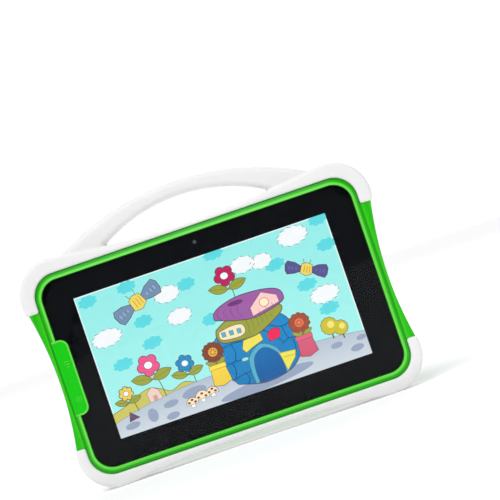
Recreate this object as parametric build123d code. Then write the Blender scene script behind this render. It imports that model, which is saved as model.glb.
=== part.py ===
from build123d import *
from math import asin, atan2, degrees
import os

# Children's seven-inch tablet computer: green shells, white bumpers and a carrying handle.
# Outlines are drawn about the centre of the screen, X to the right and Z up, seen from the front.
# Depths run along Y, from the front (negative) to the rear (positive). Millimetres.

# Screen and cover glass
ACTIVE_W = 154.2
ACTIVE_H = 85.9
GLASS_W = 189.0
GLASS_H = 114.0
GLASS_R = 11.0
GLASS_GAP = 0.15
PANEL_W = 162.0
PANEL_H = 93.0
TOUCH_MARGIN = 1.0

# Shell outline
SHELL_W = 196.8
SHELL_H = 122.4
SHELL_R = 14.0
WALL = 1.8
FLARE_TOP_X = 104.8
FLARE_WAIST_X = 100.3
FLARE_BOTTOM_X = 103.9
FLARE_ROOT_X = 97.6

# Tab that cuts into the left edge of the glass
TAB_X = -88.4
TAB_TOP = 23.0
TAB_BOTTOM = -22.6
TAB_R = 5.0

# Bumpers and handle
BUMPER_END = 41.4
CORNER_R = 22.0
TOP_CORNER_X = 84.8
TOP_CORNER_Z = 48.0
TOP_WAIST_Z = 63.6
BOTTOM_CORNER_X = 83.2
BOTTOM_CORNER_Z = 47.4
BOTTOM_WAIST_Z = 65.0
REST_FLAT = 0.15
BUMPER_ROUND = 1.8
BUMPER_GAP = 0.05
TONGUE_DEEP = 1.1
TONGUE_ROOT = 0.2
TONGUE_THICK = 1.2
TONGUE_GAP = 0.1
HANDLE_OUTER_R = 156.0
HANDLE_OUTER_TOP = 89.3
HANDLE_INNER_R = 99.0
HANDLE_INNER_TOP = 80.6
HANDLE_ROUND = 3.2

# Depths
BUMPER_FRONT = -10.0
LIP_FRONT = -9.65
BEZEL_FRONT = -9.4
TAB_FRONT = -9.4
BEZEL_EDGE = -8.5
FLARE_FRONT = -8.9
GLASS_FRONT = -8.6
GLASS_REAR = -7.4
MASK_REAR = -7.25
TOUCH_REAR = -6.8
GASKET_REAR = -6.0
PANEL_REAR = -4.4
BACKLIGHT_REAR = -2.2
MID_FRAME_REAR = -1.2
SHELL_JOINT = -1.0
BOARD_FRONT = 0.0
BOARD_REAR = 1.0
COVER_INSIDE = 7.6
BUMPER_REAR = 8.0
FLARE_REAR = 8.0
COVER_REAR = 9.4
ZONE_REAR = 10.0
HANDLE_FRONT = -3.0
HANDLE_REAR = 9.6

# Rear cover features
ZONE_X = 95.0
ZONE_R = 61.0
ZONE_CHAMFER = 0.45
SCREW_X = 90.7
SCREW_Z = 48.5
SCREW_R = 0.9
SCREW_HEAD_R = 1.7
SCREW_HEAD_THICK = 1.3
SCREW_SEAT = 6.4
GRILLE_X = 73.5
GRILLE_Z = 41.0
GRILLE_R = 12.9
GRILLE_RINGS = 8
GRILLE_PITCH = 1.5
GRILLE_HOLE_R = 0.45
CAMERA_X = -77.5
CAMERA_Z = 48.0
CAMERA_TRIM_R = 4.2
FLASH_X = -67.3
FLASH_Z = 47.8
FRONT_CAMERA_Z = 51.5

BEZEL_SLOPE = 3.0
BEZEL_ROUND = 0.8
LIP_W = 1.0
LIP_ROUND = 0.4
TAB_ROUND = 0.3
TAB_ROOT_X = -97.5
FLARE_ROUND = 1.1
COVER_ROUND = 2.5
LEDGE_X = 84.5
LEDGE_Z = 48.5
SCOOP_FRONT = 0.0
ROCKER_PIN_X = -95.9
ROCKER_PIN_R = 0.5
MICROPHONE_Z = -30.9
PIN_HALF = 11.3
FLEX_Z = -48.1
PROCESSOR_X = -66.0
PROCESSOR_Z = 6.0
BOARD_SCREWS = [(-88.0, 36.0), (-48.0, 36.0), (-88.0, -38.0), (-48.0, -38.0)]

# Ring stand
RING_Z = 31.0
RING_OUTER_R = 21.3
RING_INNER_R = 18.2
RING_FRONT = 5.8
RING_REAR = 9.2
RING_ROUND = 0.6
RING_NOTCH_ANGLE = 36.0
RING_NOTCH_W = 0.8
RING_NOTCH_DEPTH = 1.2
RING_SLOPE_R = 19.0
RING_SLOPE = 1.0
WELL_R = 22.6
WELL_FLOOR = 5.1
WELL_CHAMFER = 1.2
ISLAND_R = 17.4
ISLAND_REAR = 9.0
HINGE_Y = 7.9
HINGE_Z = 14.2
HINGE_HALF = 9.0
RING_END = 9.3
HINGE_BLOCK_H = 14.0
NAIL_GAP = 0.8
NAIL_GAP_W = 28.0
PIN_R = 0.6
RUNNING_GAP = 0.05

# Side controls and sockets, on the left side
SIDE_Y = 3.9
POWER_Z = 18.0
VOLUME_Z = -22.0
USB_Z = 9.0
HEADPHONE_Z = 1.0
CARD_Z = -9.0
BOARD_X0 = -95.4
BOARD_X1 = -42.0
BOARD_Z0 = -43.0
BOARD_Z1 = 42.0
BOARD_EAR_X = -72.5
BOARD_EAR_Z = 46.0

# Pockets and screws inside the shells
POCKET_FRONT = -5.8
LONG_POCKET_Z = 54.6
LONG_POCKET_W = 150.0
LONG_POCKET_H = 4.4
SIDE_POCKET_X = 90.6
SIDE_POCKET_W = 6.0
SIDE_POCKET_H = 76.0
CAMERA_POCKET = 8.0
BOSS_R = 3.4
SCREW_BORE_FRONT = -6.6
SCREW_TIP = -6.0
BOARD_SCREW_TIP = -2.0
BOARD_POST_R = 2.4

# Speaker
SPEAKER_R = 12.3
SPEAKER_FRONT = 3.6
SPEAKER_REAR = 6.8
MAGNET_R = 7.5
MAGNET_FRONT = 1.6
CONE_FLOOR = 5.4
CONE_FLOOR_R = 4.0
CONE_RIM_R = 10.6
COLLAR_BORE_R = 12.6
COLLAR_R = 13.6

# Cameras and flash
CAMERA_BODY = 8.4
CAMERA_BODY_REAR = 6.0
CAMERA_BARREL_R = 3.1
CAMERA_BARREL_REAR = 8.4
CAMERA_GASKET_REAR = 7.6
TRIM_FRONT = 8.0
TRIM_REAR = 9.95
WINDOW_R = 3.35
WINDOW_FRONT = 8.5
WINDOW_REAR = 9.15
FLASH_W = 2.6
FLASH_H = 5.0
FRONT_CAMERA_BODY = 6.6
FRONT_CAMERA_FACE = -6.9
FRONT_CAMERA_REAR = -3.6
FRONT_CAMERA_HOLE_R = 1.3

# Battery, board components, cables
BATTERY_X = 15.0
BATTERY_Z = -16.0
BATTERY_W = 100.0
BATTERY_H = 58.0
BATTERY_REAR = 2.6
CONNECTOR_X = -46.1
CONNECTOR_Z = -23.4
MEMORY_PLACES = [(-72.0, -20.0), (-58.0, -20.0)]
RADIO_PLACES = [(-52.0, 24.0)]
ANTENNA_X = 45.0
ANTENNA_Z = 52.0
LEAD_DEPTH = -0.6
BATTERY_WIRE_DEPTH = 1.9
FLEX_THICK = 0.2
FLEX_W = 16.0
FLEX_TAIL_W = 2.4
FLEX_END_Z = -40.0
CAMERA_TAIL_X = -57.3

SCREEN_Z = BOTTOM_CORNER_Z + CORNER_R - REST_FLAT


def sketch_plane(depth):
    """Plane parallel to the screen at one depth, facing the front."""
    return Plane(origin=(0, depth, SCREEN_Z), x_dir=(1, 0, 0), z_dir=(0, -1, 0))


def slab(outline, front, rear):
    """Solid of an outline between two depths."""
    return extrude(sketch_plane(rear) * outline, amount=rear - front)


def block(x, z, width, height, front, rear, corner=0.0):
    """Rectangular slab, with rounded corners if a radius is given."""
    outline = RectangleRounded(width, height, corner) if corner else Rectangle(width, height)
    return slab(Pos(x, z) * outline, front, rear)


def rod(x, z, radius, front, rear):
    """Cylinder whose axis runs from front to rear."""
    return slab(Pos(x, z) * Circle(radius), front, rear)


def side_rod(y, z, radius, x0, x1):
    """Cylinder whose axis runs along X."""
    plane = Plane(origin=(x0, y, SCREEN_Z + z), x_dir=(0, 1, 0), z_dir=(1, 0, 0))
    return extrude(plane * Circle(radius), amount=x1 - x0)


def side_block(x0, x1, y, z, depth, height, corner=0.0):
    """Bar that runs along X, centred at one depth and height."""
    plane = Plane(origin=(x0, y, SCREEN_Z + z), x_dir=(0, 1, 0), z_dir=(1, 0, 0))
    outline = RectangleRounded(depth, height, corner) if corner else Rectangle(depth, height)
    return extrude(plane * outline, amount=x1 - x0)


def edges_at(solid, depth):
    """Edges that lie flat at one depth."""
    return solid.edges().filter_by_position(Axis.Y, depth - 0.01, depth + 0.01)


def wire_along(points, depth, radius):
    """Insulated wire through points of one depth, bent at each inner point."""
    corners = [Vector(x, depth, SCREEN_Z + z) for x, z in points]
    path = FilletPolyline(*corners, radius=4 * radius)
    start = Plane(origin=path @ 0, z_dir=path % 0)
    return sweep(start * Circle(radius), path)


def shell_outline(inset=0.0):
    """Rounded rectangle that both shells share."""
    return RectangleRounded(SHELL_W - 2 * inset, SHELL_H - 2 * inset, SHELL_R - inset)


def flare_outline(side):
    """Grip that widens one side of the shells between the bumpers; side is 1 or -1."""
    top = (side * FLARE_TOP_X, BUMPER_END)
    waist = (side * FLARE_WAIST_X, 0)
    bottom = (side * FLARE_BOTTOM_X, -BUMPER_END)
    root_top = (side * FLARE_ROOT_X, BUMPER_END)
    root_bottom = (side * FLARE_ROOT_X, -BUMPER_END)
    edges = [
        ThreePointArc(top, waist, bottom),
        Line(bottom, root_bottom),
        Line(root_bottom, root_top),
        Line(root_top, top),
    ]
    return make_face(edges)


def tab_outline(gap=0.0):
    """Tab at the left of the glass, rounded at its two inner corners."""
    width = 2 * (TAB_X + gap - TAB_ROOT_X)
    height = TAB_TOP - TAB_BOTTOM + 2 * gap
    rounded = Pos(TAB_ROOT_X, (TAB_TOP + TAB_BOTTOM) / 2) * RectangleRounded(width, height, TAB_R)
    return rounded & Pos(TAB_ROOT_X + width / 2, 0) * Rectangle(width, 2 * height)


def glass_outline():
    """Cover glass, notched round the tab."""
    return RectangleRounded(GLASS_W, GLASS_H, GLASS_R) - tab_outline(GLASS_GAP)


def bumper_outline(corner_x, corner_z, waist_z):
    """Corner bumps joined by a hollow arc that is tangent to both."""
    rise = waist_z - corner_z
    hollow_r = (corner_x**2 + rise**2 - CORNER_R**2) / (2 * (CORNER_R - rise))
    end_angle = degrees(asin((BUMPER_END - corner_z) / CORNER_R))
    join_angle = degrees(atan2(rise + hollow_r, -corner_x))
    sweep_angle = join_angle - end_angle
    right = CenterArc((corner_x, corner_z), CORNER_R, end_angle, sweep_angle)
    left = CenterArc((-corner_x, corner_z), CORNER_R, 180 - join_angle, sweep_angle)
    hollow = ThreePointArc(right @ 1, (0, waist_z), left @ 0)
    base = Line(left @ 1, right @ 0)
    return make_face([right, hollow, left, base])


def tongue_outline():
    """Strip of the bumper that the two shells clamp, above the bumper's end."""
    ring = shell_outline(-BUMPER_GAP - TONGUE_ROOT) - shell_outline(TONGUE_DEEP)
    keep = Pos(0, BUMPER_END + SHELL_H / 2) * Rectangle(2 * SHELL_W, SHELL_H)
    return ring & keep


def handle_outline():
    """Carrying handle between two arcs, down to the top of the shells."""
    outer = Pos(0, HANDLE_OUTER_TOP - HANDLE_OUTER_R) * Circle(HANDLE_OUTER_R)
    inner = Pos(0, HANDLE_INNER_TOP - HANDLE_INNER_R) * Circle(HANDLE_INNER_R)
    base_z = SHELL_H / 2 + BUMPER_GAP
    keep = Pos(0, base_z + HANDLE_OUTER_TOP / 2) * Rectangle(2 * SHELL_W, HANDLE_OUTER_TOP)
    return (outer - inner) & keep


def rounded_bumper(outline):
    """Bumper body with its outer edges rounded, clear of the shells."""
    body = slab(outline, BUMPER_FRONT, BUMPER_REAR)
    outer_edges = body.edges().filter_by(GeomType.CIRCLE)
    body = fillet(outer_edges, BUMPER_ROUND)
    tongue = slab(tongue_outline(), SHELL_JOINT - TONGUE_THICK / 2, SHELL_JOINT + TONGUE_THICK / 2)
    return body - slab(shell_outline(-BUMPER_GAP), BUMPER_FRONT - 1, ZONE_REAR + 1) + tongue


def top_bumper():
    bumper = rounded_bumper(bumper_outline(TOP_CORNER_X, TOP_CORNER_Z, TOP_WAIST_Z))
    handle = slab(handle_outline(), HANDLE_FRONT, HANDLE_REAR)
    handle = fillet(handle.edges().filter_by(GeomType.CIRCLE), HANDLE_ROUND)
    return bumper + handle


def bottom_bumper():
    outline = bumper_outline(BOTTOM_CORNER_X, BOTTOM_CORNER_Z, BOTTOM_WAIST_Z)
    bumper = rounded_bumper(outline)
    turned = Pos(0, 0, SCREEN_Z) * Rot(0, 180, 0) * Pos(0, 0, -SCREEN_Z) * bumper
    below_floor = Box(3 * SHELL_W, 60, 20, align=(Align.CENTER, Align.CENTER, Align.MAX))
    return turned - below_floor


def clamp_groove():
    """Groove that takes the bumper tongues, at the joint of the shells."""
    groove = shell_outline(-5) - shell_outline(TONGUE_DEEP + TONGUE_GAP)
    groove -= Rectangle(2 * SHELL_W, 2 * BUMPER_END)
    half = TONGUE_THICK / 2 + TONGUE_GAP
    return slab(groove, SHELL_JOINT - half, SHELL_JOINT + half)


def side_flares(front, rear, rounded_depth, radius):
    """Both side grips, rounded at one face."""
    flares = []
    for side in (-1, 1):
        flare = slab(flare_outline(side), front, rear)
        long_edges = edges_at(flare, rounded_depth).filter_by(lambda e: e.length > 20)
        flares.append(fillet(long_edges, radius))
    return flares


def bezel_body():
    """Block of the front shell, with a slope that rises from its outer edge towards the glass."""
    foot = sketch_plane(BEZEL_EDGE) * shell_outline()
    crest = sketch_plane(BEZEL_FRONT) * shell_outline(BEZEL_SLOPE)
    body = slab(shell_outline(), BEZEL_EDGE, SHELL_JOINT) + loft([foot, crest])
    return fillet(edges_at(body, BEZEL_EDGE), BEZEL_ROUND)


def glass_pocket():
    """Pocket that the glass and its border mask drop into."""
    return RectangleRounded(GLASS_W + 2 * GLASS_GAP, GLASS_H + 2 * GLASS_GAP, GLASS_R + GLASS_GAP)


def glass_lip():
    """Raised bead that follows the edge of the glass, round the tab too."""
    opening = glass_pocket() - tab_outline()
    lip = slab(offset(opening, LIP_W) - opening, LIP_FRONT, MASK_REAR)
    return fillet(edges_at(lip, LIP_FRONT), LIP_ROUND)


def front_frame():
    """Front shell: bezel, lip round the glass, side grips, tab, ledge behind the glass."""
    frame = bezel_body() - slab(glass_pocket(), BEZEL_FRONT - 1, MASK_REAR)
    frame -= block(0, 0, 2 * LEDGE_X, 2 * LEDGE_Z, MASK_REAR - 1, SHELL_JOINT + 1, 2.0)
    frame -= block(0, FRONT_CAMERA_Z, CAMERA_POCKET, CAMERA_POCKET, MASK_REAR - 1, SHELL_JOINT + 1, 0.8)
    frame -= slab(shell_outline(WALL), BACKLIGHT_REAR, SHELL_JOINT + 1)
    for sign in (-1, 1):
        long_z = sign * LONG_POCKET_Z
        side_x = sign * SIDE_POCKET_X
        frame -= block(0, long_z, LONG_POCKET_W, LONG_POCKET_H, POCKET_FRONT, BACKLIGHT_REAR, 1.0)
        frame -= block(side_x, 0, SIDE_POCKET_W, SIDE_POCKET_H, POCKET_FRONT, BACKLIGHT_REAR, 1.0)
    tab = slab(tab_outline(), TAB_FRONT, MASK_REAR)
    frame += fillet(edges_at(tab, TAB_FRONT), TAB_ROUND)
    frame += glass_lip()
    for flare in side_flares(FLARE_FRONT, SHELL_JOINT, FLARE_FRONT, FLARE_ROUND):
        frame += flare
    for x in (-SCREW_X, SCREW_X):
        for z in (-SCREW_Z, SCREW_Z):
            frame -= rod(x, z, SCREW_R + 0.02, SCREW_BORE_FRONT, SHELL_JOINT)
    return frame - clamp_groove()


def cover_lens():
    """Cover glass with softened front edges."""
    glass = slab(glass_outline(), GLASS_FRONT, GLASS_REAR)
    return chamfer(edges_at(glass, GLASS_FRONT), 0.15)


def lens_border_mask():
    """Black printed border with the picture window and the camera hole."""
    border = glass_outline() - Rectangle(ACTIVE_W, ACTIVE_H)
    border -= Pos(0, FRONT_CAMERA_Z) * Circle(FRONT_CAMERA_HOLE_R)
    return slab(border, GLASS_REAR, MASK_REAR)


def screen_layers():
    """Touch film, foam gasket, picture panel and backlight, from front to rear."""
    film_w = PANEL_W + 2 * TOUCH_MARGIN
    film_h = PANEL_H + 2 * TOUCH_MARGIN
    touch = block(0, 0, film_w, film_h, MASK_REAR, TOUCH_REAR, 1.0)
    gasket = Rectangle(PANEL_W, PANEL_H) - Rectangle(ACTIVE_W + 1.2, ACTIVE_H + 1.2)
    panel = block(0, 0, PANEL_W, PANEL_H, GASKET_REAR, PANEL_REAR)
    tray = block(0, 0, PANEL_W + 2.0, PANEL_H + 2.0, PANEL_REAR, BACKLIGHT_REAR, 1.5)
    for sign in (-1, 1):
        for x in (-50, 50):
            tray += block(x, sign * (PANEL_H / 2 + 0.7), 12.0, 0.6, PANEL_REAR - 1.0, PANEL_REAR + 0.1)
    return touch, slab(gasket, TOUCH_REAR, GASKET_REAR), panel, tray


def mid_frame():
    """Plate behind the screen that carries the battery and the main board."""
    plate = slab(shell_outline(WALL + 0.2), BACKLIGHT_REAR, MID_FRAME_REAR)
    for x in (-SCREW_X, SCREW_X):
        for z in (-SCREW_Z, SCREW_Z):
            plate -= rod(x, z, SCREW_R + 0.3, BACKLIGHT_REAR - 1, MID_FRAME_REAR + 1)
    for x, z in BOARD_SCREWS:
        plate += rod(x, z, BOARD_POST_R, MID_FRAME_REAR, BOARD_FRONT)
        plate -= rod(x, z, 0.72, BACKLIGHT_REAR, BOARD_FRONT + 1)
    for x in (-24, 14, 52):
        plate -= block(x, 32.0, 26.0, 16.0, BACKLIGHT_REAR - 1, MID_FRAME_REAR + 1, 3.0)
    for x, z, width in ((20.0, FLEX_Z, 17.0), (-14.0, FLEX_Z, 17.0), (0.0, FRONT_CAMERA_Z, 6.0)):
        plate -= block(x, z, width, 1.0, BACKLIGHT_REAR - 1, MID_FRAME_REAR + 1)
    return plate


def main_board():
    board = slab(board_outline(), BOARD_FRONT, BOARD_REAR)
    for x, z in BOARD_SCREWS:
        board -= rod(x, z, 1.0, BOARD_FRONT - 1, BOARD_REAR + 1)
    return board


def screw(x, z, head_r, head_thick, seat, shank_r, tip):
    """Cross-head screw whose head sits on a seat and points to the rear."""
    head = fillet(edges_at(rod(x, z, head_r, seat, seat + head_thick), seat + head_thick), 0.3)
    for width, height in ((0.5, 1.9), (1.9, 0.5)):
        head -= block(x, z, width, height, seat + head_thick - 0.6, seat + head_thick + 1)
    shank = rod(x, z, shank_r, tip, seat)
    return head + chamfer(edges_at(shank, tip), 0.25)


def cover_screws():
    screws = [
        screw(x, z, SCREW_HEAD_R, SCREW_HEAD_THICK, SCREW_SEAT, SCREW_R, SCREW_TIP)
        for x in (-SCREW_X, SCREW_X)
        for z in (-SCREW_Z, SCREW_Z)
    ]
    return Compound(children=screws)


def board_screws():
    screws = [screw(x, z, 1.4, 0.9, BOARD_REAR, 0.7, BOARD_SCREW_TIP) for x, z in BOARD_SCREWS]
    return Compound(children=screws)


def chips(places, width, height, thick):
    """Flat packages of one size on the rear of the board."""
    packages = [block(x, z, width, height, BOARD_REAR, BOARD_REAR + thick, 0.3) for x, z in places]
    return packages[0] if len(packages) == 1 else Compound(children=packages)


def grille_holes():
    """Rings of small holes round a centre hole, six more in each ring outwards."""
    holes = [Pos(GRILLE_X, GRILLE_Z) * Circle(GRILLE_HOLE_R)]
    for ring in range(1, GRILLE_RINGS + 1):
        places = PolarLocations(ring * GRILLE_PITCH, 6 * ring)
        holes += [Pos(GRILLE_X, GRILLE_Z) * place * Circle(GRILLE_HOLE_R) for place in places]
    return holes


def raised_zone(side):
    """Slightly raised round field on one side of the rear cover."""
    field = Pos(side * ZONE_X, 0) * Circle(ZONE_R) & shell_outline(COVER_ROUND + 0.1)
    zone = slab(field, COVER_REAR - 0.1, ZONE_REAR)
    return chamfer(edges_at(zone, ZONE_REAR), ZONE_CHAMFER)


def scoop_outline():
    """Hollow in the rear half of the left grip, where the buttons and sockets are."""
    top_out = (-FLARE_TOP_X - 8, 26.5)
    top_edge = (-101.9, 26.5)
    top_floor = (-100.2, 22.0)
    middle = (-98.8, 0)
    bottom_floor = (-101.0, -32.0)
    bottom_edge = (-103.4, -36.0)
    bottom_out = (-FLARE_TOP_X - 8, -36.0)
    edges = [
        Line(top_out, top_edge),
        Line(top_edge, top_floor),
        ThreePointArc(top_floor, middle, bottom_floor),
        Line(bottom_floor, bottom_edge),
        Line(bottom_edge, bottom_out),
        Line(bottom_out, top_out),
    ]
    return make_face(edges)


def ring_well(cover):
    """Round well for the ring stand with an island inside it, and the hinge block below."""
    centre_z = SCREEN_Z + RING_Z
    cover += rod(0, RING_Z, WELL_R + WALL, WELL_FLOOR - WALL, COVER_INSIDE + 0.2)
    mouth = Plane(origin=(0, COVER_REAR - WELL_CHAMFER, centre_z), z_dir=(0, 1, 0))
    cone = Solid.make_cone(WELL_R, WELL_R + 2 * WELL_CHAMFER, 2 * WELL_CHAMFER, mouth)
    well = rod(0, RING_Z, WELL_R, WELL_FLOOR, COVER_REAR + 1) + cone
    cover -= well
    island = rod(0, RING_Z, ISLAND_R, WELL_FLOOR - 0.2, ISLAND_REAR)
    island = fillet(edges_at(island, ISLAND_REAR), 0.5)
    hinge_zone = Pos(0, HINGE_Z) * Rectangle(2 * HINGE_HALF, HINGE_BLOCK_H)
    segment = Pos(0, RING_Z) * Circle(RING_OUTER_R) & hinge_zone
    hinge_block = slab(segment, WELL_FLOOR - 0.2, ISLAND_REAR)
    cover += island + hinge_block
    nail_gap = Circle(WELL_R + NAIL_GAP) & Pos(0, WELL_R) * Rectangle(NAIL_GAP_W, 14)
    cover -= slab(Pos(0, RING_Z) * nail_gap - Pos(0, RING_Z) * Circle(ISLAND_R), WELL_FLOOR, ZONE_REAR)
    return cover - side_rod(HINGE_Y, HINGE_Z, PIN_R + RUNNING_GAP, -HINGE_HALF - 1, HINGE_HALF + 1)


def side_openings():
    """Holes through the left wall for the buttons and sockets."""
    x0 = -FLARE_TOP_X
    x1 = -SHELL_W / 2 + WALL + 0.6
    cuts = side_block(x0, x1, SIDE_Y, POWER_Z, 3.8, 7.6, 0.8)
    cuts += side_block(x0, x1, SIDE_Y, VOLUME_Z, 3.8, 10.6, 0.8)
    cuts += side_block(x0, x1, BOARD_REAR + 1.5, USB_Z, 3.2, 7.8, 1.0)
    cuts += side_rod(BOARD_REAR + 2.5, HEADPHONE_Z, 3.0, x0, x1)
    cuts += side_block(x0, x1, BOARD_REAR + 1.0, CARD_Z, 1.8, 12.0, 0.4)
    cuts += side_rod(SIDE_Y, MICROPHONE_Z, 0.5, x0, x1)
    return cuts


def rear_cover():
    """Rear shell with its raised fields, grille, ring well, bosses and side openings."""
    cover = slab(shell_outline(), SHELL_JOINT, COVER_REAR)
    cover = fillet(edges_at(cover, COVER_REAR), COVER_ROUND)
    for flare in side_flares(SHELL_JOINT, FLARE_REAR, FLARE_REAR, FLARE_ROUND):
        cover += flare
    cover -= slab(scoop_outline(), SCOOP_FRONT, COVER_REAR)
    cover -= slab(shell_outline(WALL), SHELL_JOINT - 1, COVER_INSIDE)
    for side in (-1, 1):
        cover += raised_zone(side)
    cover = ring_well(cover)
    for x in (-SCREW_X, SCREW_X):
        for z in (-SCREW_Z, SCREW_Z):
            cover += rod(x, z, BOSS_R, MID_FRAME_REAR, COVER_INSIDE + 0.1)
            cover -= rod(x, z, SCREW_R + 0.25, MID_FRAME_REAR - 1, SCREW_SEAT)
            cover -= rod(x, z, SCREW_HEAD_R + 0.2, SCREW_SEAT, ZONE_REAR + 1)
    collar = rod(GRILLE_X, GRILLE_Z, COLLAR_R, SPEAKER_FRONT, COVER_INSIDE)
    cover += collar - rod(GRILLE_X, GRILLE_Z, COLLAR_BORE_R, SPEAKER_FRONT, COVER_INSIDE)
    cover -= rod(CAMERA_X, CAMERA_Z, CAMERA_TRIM_R + 0.05, COVER_INSIDE - 1, ZONE_REAR + 1)
    cover -= block(FLASH_X, FLASH_Z, FLASH_W + 0.1, FLASH_H + 0.1, COVER_INSIDE - 1, ZONE_REAR + 1, 1.3)
    for depth, thick in ((1.5, 0.8), (6.75, 1.7)):
        lug = side_block(-SHELL_W / 2 + WALL - 0.1, ROCKER_PIN_X + 1.3, depth, VOLUME_Z, thick, 2.6)
        cover += lug - rod(ROCKER_PIN_X, VOLUME_Z, ROCKER_PIN_R, depth - thick, depth + thick)
    cover -= side_openings()
    plate = Pos(GRILLE_X, GRILLE_Z) * Circle(GRILLE_R) - grille_holes()
    cover -= rod(GRILLE_X, GRILLE_Z, GRILLE_R, COVER_INSIDE - 1, ZONE_REAR + 1)
    cover += slab(plate, COVER_INSIDE, ZONE_REAR)
    return cover - clamp_groove()


def finger_slope():
    """Material outside a shallow cone, taken off the ring between its notches so that a nail can lift it."""
    half = Rectangle(2 * RING_OUTER_R, 4 * RING_OUTER_R)
    wedge = Rot(0, 0, RING_NOTCH_ANGLE) * Pos(RING_OUTER_R, 0) * half
    wedge &= Rot(0, 0, -RING_NOTCH_ANGLE) * Pos(-RING_OUTER_R, 0) * half
    foot = Plane(origin=(0, RING_REAR - RING_SLOPE, SCREEN_Z), z_dir=(0, 1, 0))
    cone = Solid.make_cone(RING_OUTER_R, RING_SLOPE_R, RING_SLOPE, foot)
    return slab(wedge, RING_REAR - RING_SLOPE, RING_REAR) - cone


def ring_stand():
    """Open ring whose two ends carry the hinge pin."""
    ring = slab(Circle(RING_OUTER_R) - Circle(RING_INNER_R), RING_FRONT, RING_REAR)
    ring = fillet(ring.edges().filter_by(GeomType.CIRCLE), RING_ROUND)
    ring -= finger_slope()
    for angle in (-RING_NOTCH_ANGLE, RING_NOTCH_ANGLE):
        notch = Rot(0, 0, angle) * Pos(0, RING_OUTER_R) * Rectangle(RING_NOTCH_W, 10)
        ring -= slab(notch, RING_REAR - RING_NOTCH_DEPTH, RING_REAR + 1)
    ring = Pos(0, 0, RING_Z) * ring
    ring -= block(0, RING_Z - RING_OUTER_R, 2 * RING_END, 14, RING_FRONT - 1, RING_REAR + 1)
    return ring - side_rod(HINGE_Y, HINGE_Z, PIN_R, -PIN_HALF, PIN_HALF)


def ring_hinge_pin():
    return side_rod(HINGE_Y, HINGE_Z, PIN_R, -PIN_HALF, PIN_HALF)


def ring_hinge_washers():
    """Thin friction washers between the ring's ends and the hinge block."""
    washers = []
    for side in (-1, 1):
        x0 = min(side * HINGE_HALF, side * RING_END) + 0.02
        x1 = max(side * HINGE_HALF, side * RING_END) - 0.02
        washer = side_rod(HINGE_Y, HINGE_Z, 1.2, x0, x1)
        washers.append(washer - side_rod(HINGE_Y, HINGE_Z, PIN_R + RUNNING_GAP, x0 - 1, x1 + 1))
    return Compound(children=washers)


def power_button():
    """Side button with a flange that keeps it in the wall."""
    cap = side_block(-101.4, -96.2, SIDE_Y, POWER_Z, 3.2, 7.0, 0.6)
    cap = fillet(cap.faces().sort_by(Axis.X)[0].edges(), 0.5)
    return cap + side_block(-96.5, -95.7, SIDE_Y, POWER_Z, 4.8, 9.2, 0.6)


def volume_rocker():
    """Rocking key on a pin, with one foot over each switch."""
    cap = side_block(-101.6, -95.9, SIDE_Y, VOLUME_Z, 3.2, 9.6, 0.6)
    cap = fillet(cap.faces().sort_by(Axis.X)[0].edges(), 0.5)
    foot = side_block(-96.1, -94.9, SIDE_Y, VOLUME_Z, 3.4, 11.4, 0.5)
    return cap + foot - rod(ROCKER_PIN_X, VOLUME_Z, ROCKER_PIN_R + RUNNING_GAP, 0, 8)


def tact_switch(z):
    """Side-push switch on the edge of the main board."""
    housing = side_block(-94.0, -91.2, 3.1, z, 4.2, 3.4)
    stem = side_block(-94.55, -94.0, SIDE_Y, z, 1.6, 1.8)
    return housing + stem


def usb_socket():
    """Micro-size power and data socket: metal shell with a tongue inside."""
    y = BOARD_REAR + 1.5
    shell = side_block(-98.0, -92.2, y, USB_Z, 2.6, 7.4, 0.8)
    shell -= side_block(-99.0, -92.8, y, USB_Z, 2.0, 6.8, 0.6)
    return shell + side_block(-97.2, -92.8, y + 0.4, USB_Z, 0.6, 4.0)


def headphone_socket():
    """Socket for a 3.5 mm plug."""
    y = BOARD_REAR + 2.5
    body = side_block(-96.2, -84.0, y, HEADPHONE_Z, 5.0, 6.0, 0.4)
    collar = side_rod(y, HEADPHONE_Z, 2.9, -98.2, -96.2)
    return body + collar - side_rod(y, HEADPHONE_Z, 1.8, -99.0, -85.0)


def card_slot():
    """Memory-card slot: thin metal case open to the side."""
    y = BOARD_REAR + 1.0
    case = side_block(-96.2, -82.0, y, CARD_Z, 1.8, 13.6)
    return case - side_block(-97.0, -83.0, y, CARD_Z, 1.3, 11.6)


def speaker():
    """Round loudspeaker: frame, magnet and cone seen from the grille side."""
    frame = rod(GRILLE_X, GRILLE_Z, SPEAKER_R, SPEAKER_FRONT, SPEAKER_REAR)
    magnet = rod(GRILLE_X, GRILLE_Z, MAGNET_R, MAGNET_FRONT, SPEAKER_FRONT)
    cone = Plane(origin=(GRILLE_X, CONE_FLOOR, SCREEN_Z + GRILLE_Z), z_dir=(0, 1, 0))
    dish = Solid.make_cone(CONE_FLOOR_R, CONE_RIM_R, SPEAKER_REAR - CONE_FLOOR + 0.2, cone)
    return frame + magnet - dish


def speaker_gasket():
    """Foam ring between the speaker's rim and the cover."""
    ring = rod(GRILLE_X, GRILLE_Z, SPEAKER_R, SPEAKER_REAR, COVER_INSIDE)
    return ring - rod(GRILLE_X, GRILLE_Z, CONE_RIM_R + 0.2, SPEAKER_REAR, COVER_INSIDE)


def rear_camera_module():
    body = block(CAMERA_X, CAMERA_Z, CAMERA_BODY, CAMERA_BODY, BOARD_REAR, CAMERA_BODY_REAR, 0.4)
    barrel = rod(CAMERA_X, CAMERA_Z, CAMERA_BARREL_R, CAMERA_BODY_REAR, CAMERA_BARREL_REAR)
    mouth = rod(CAMERA_X, CAMERA_Z, 1.8, CAMERA_BARREL_REAR - 1.0, CAMERA_BARREL_REAR + 1.0)
    return body + barrel - mouth


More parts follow.
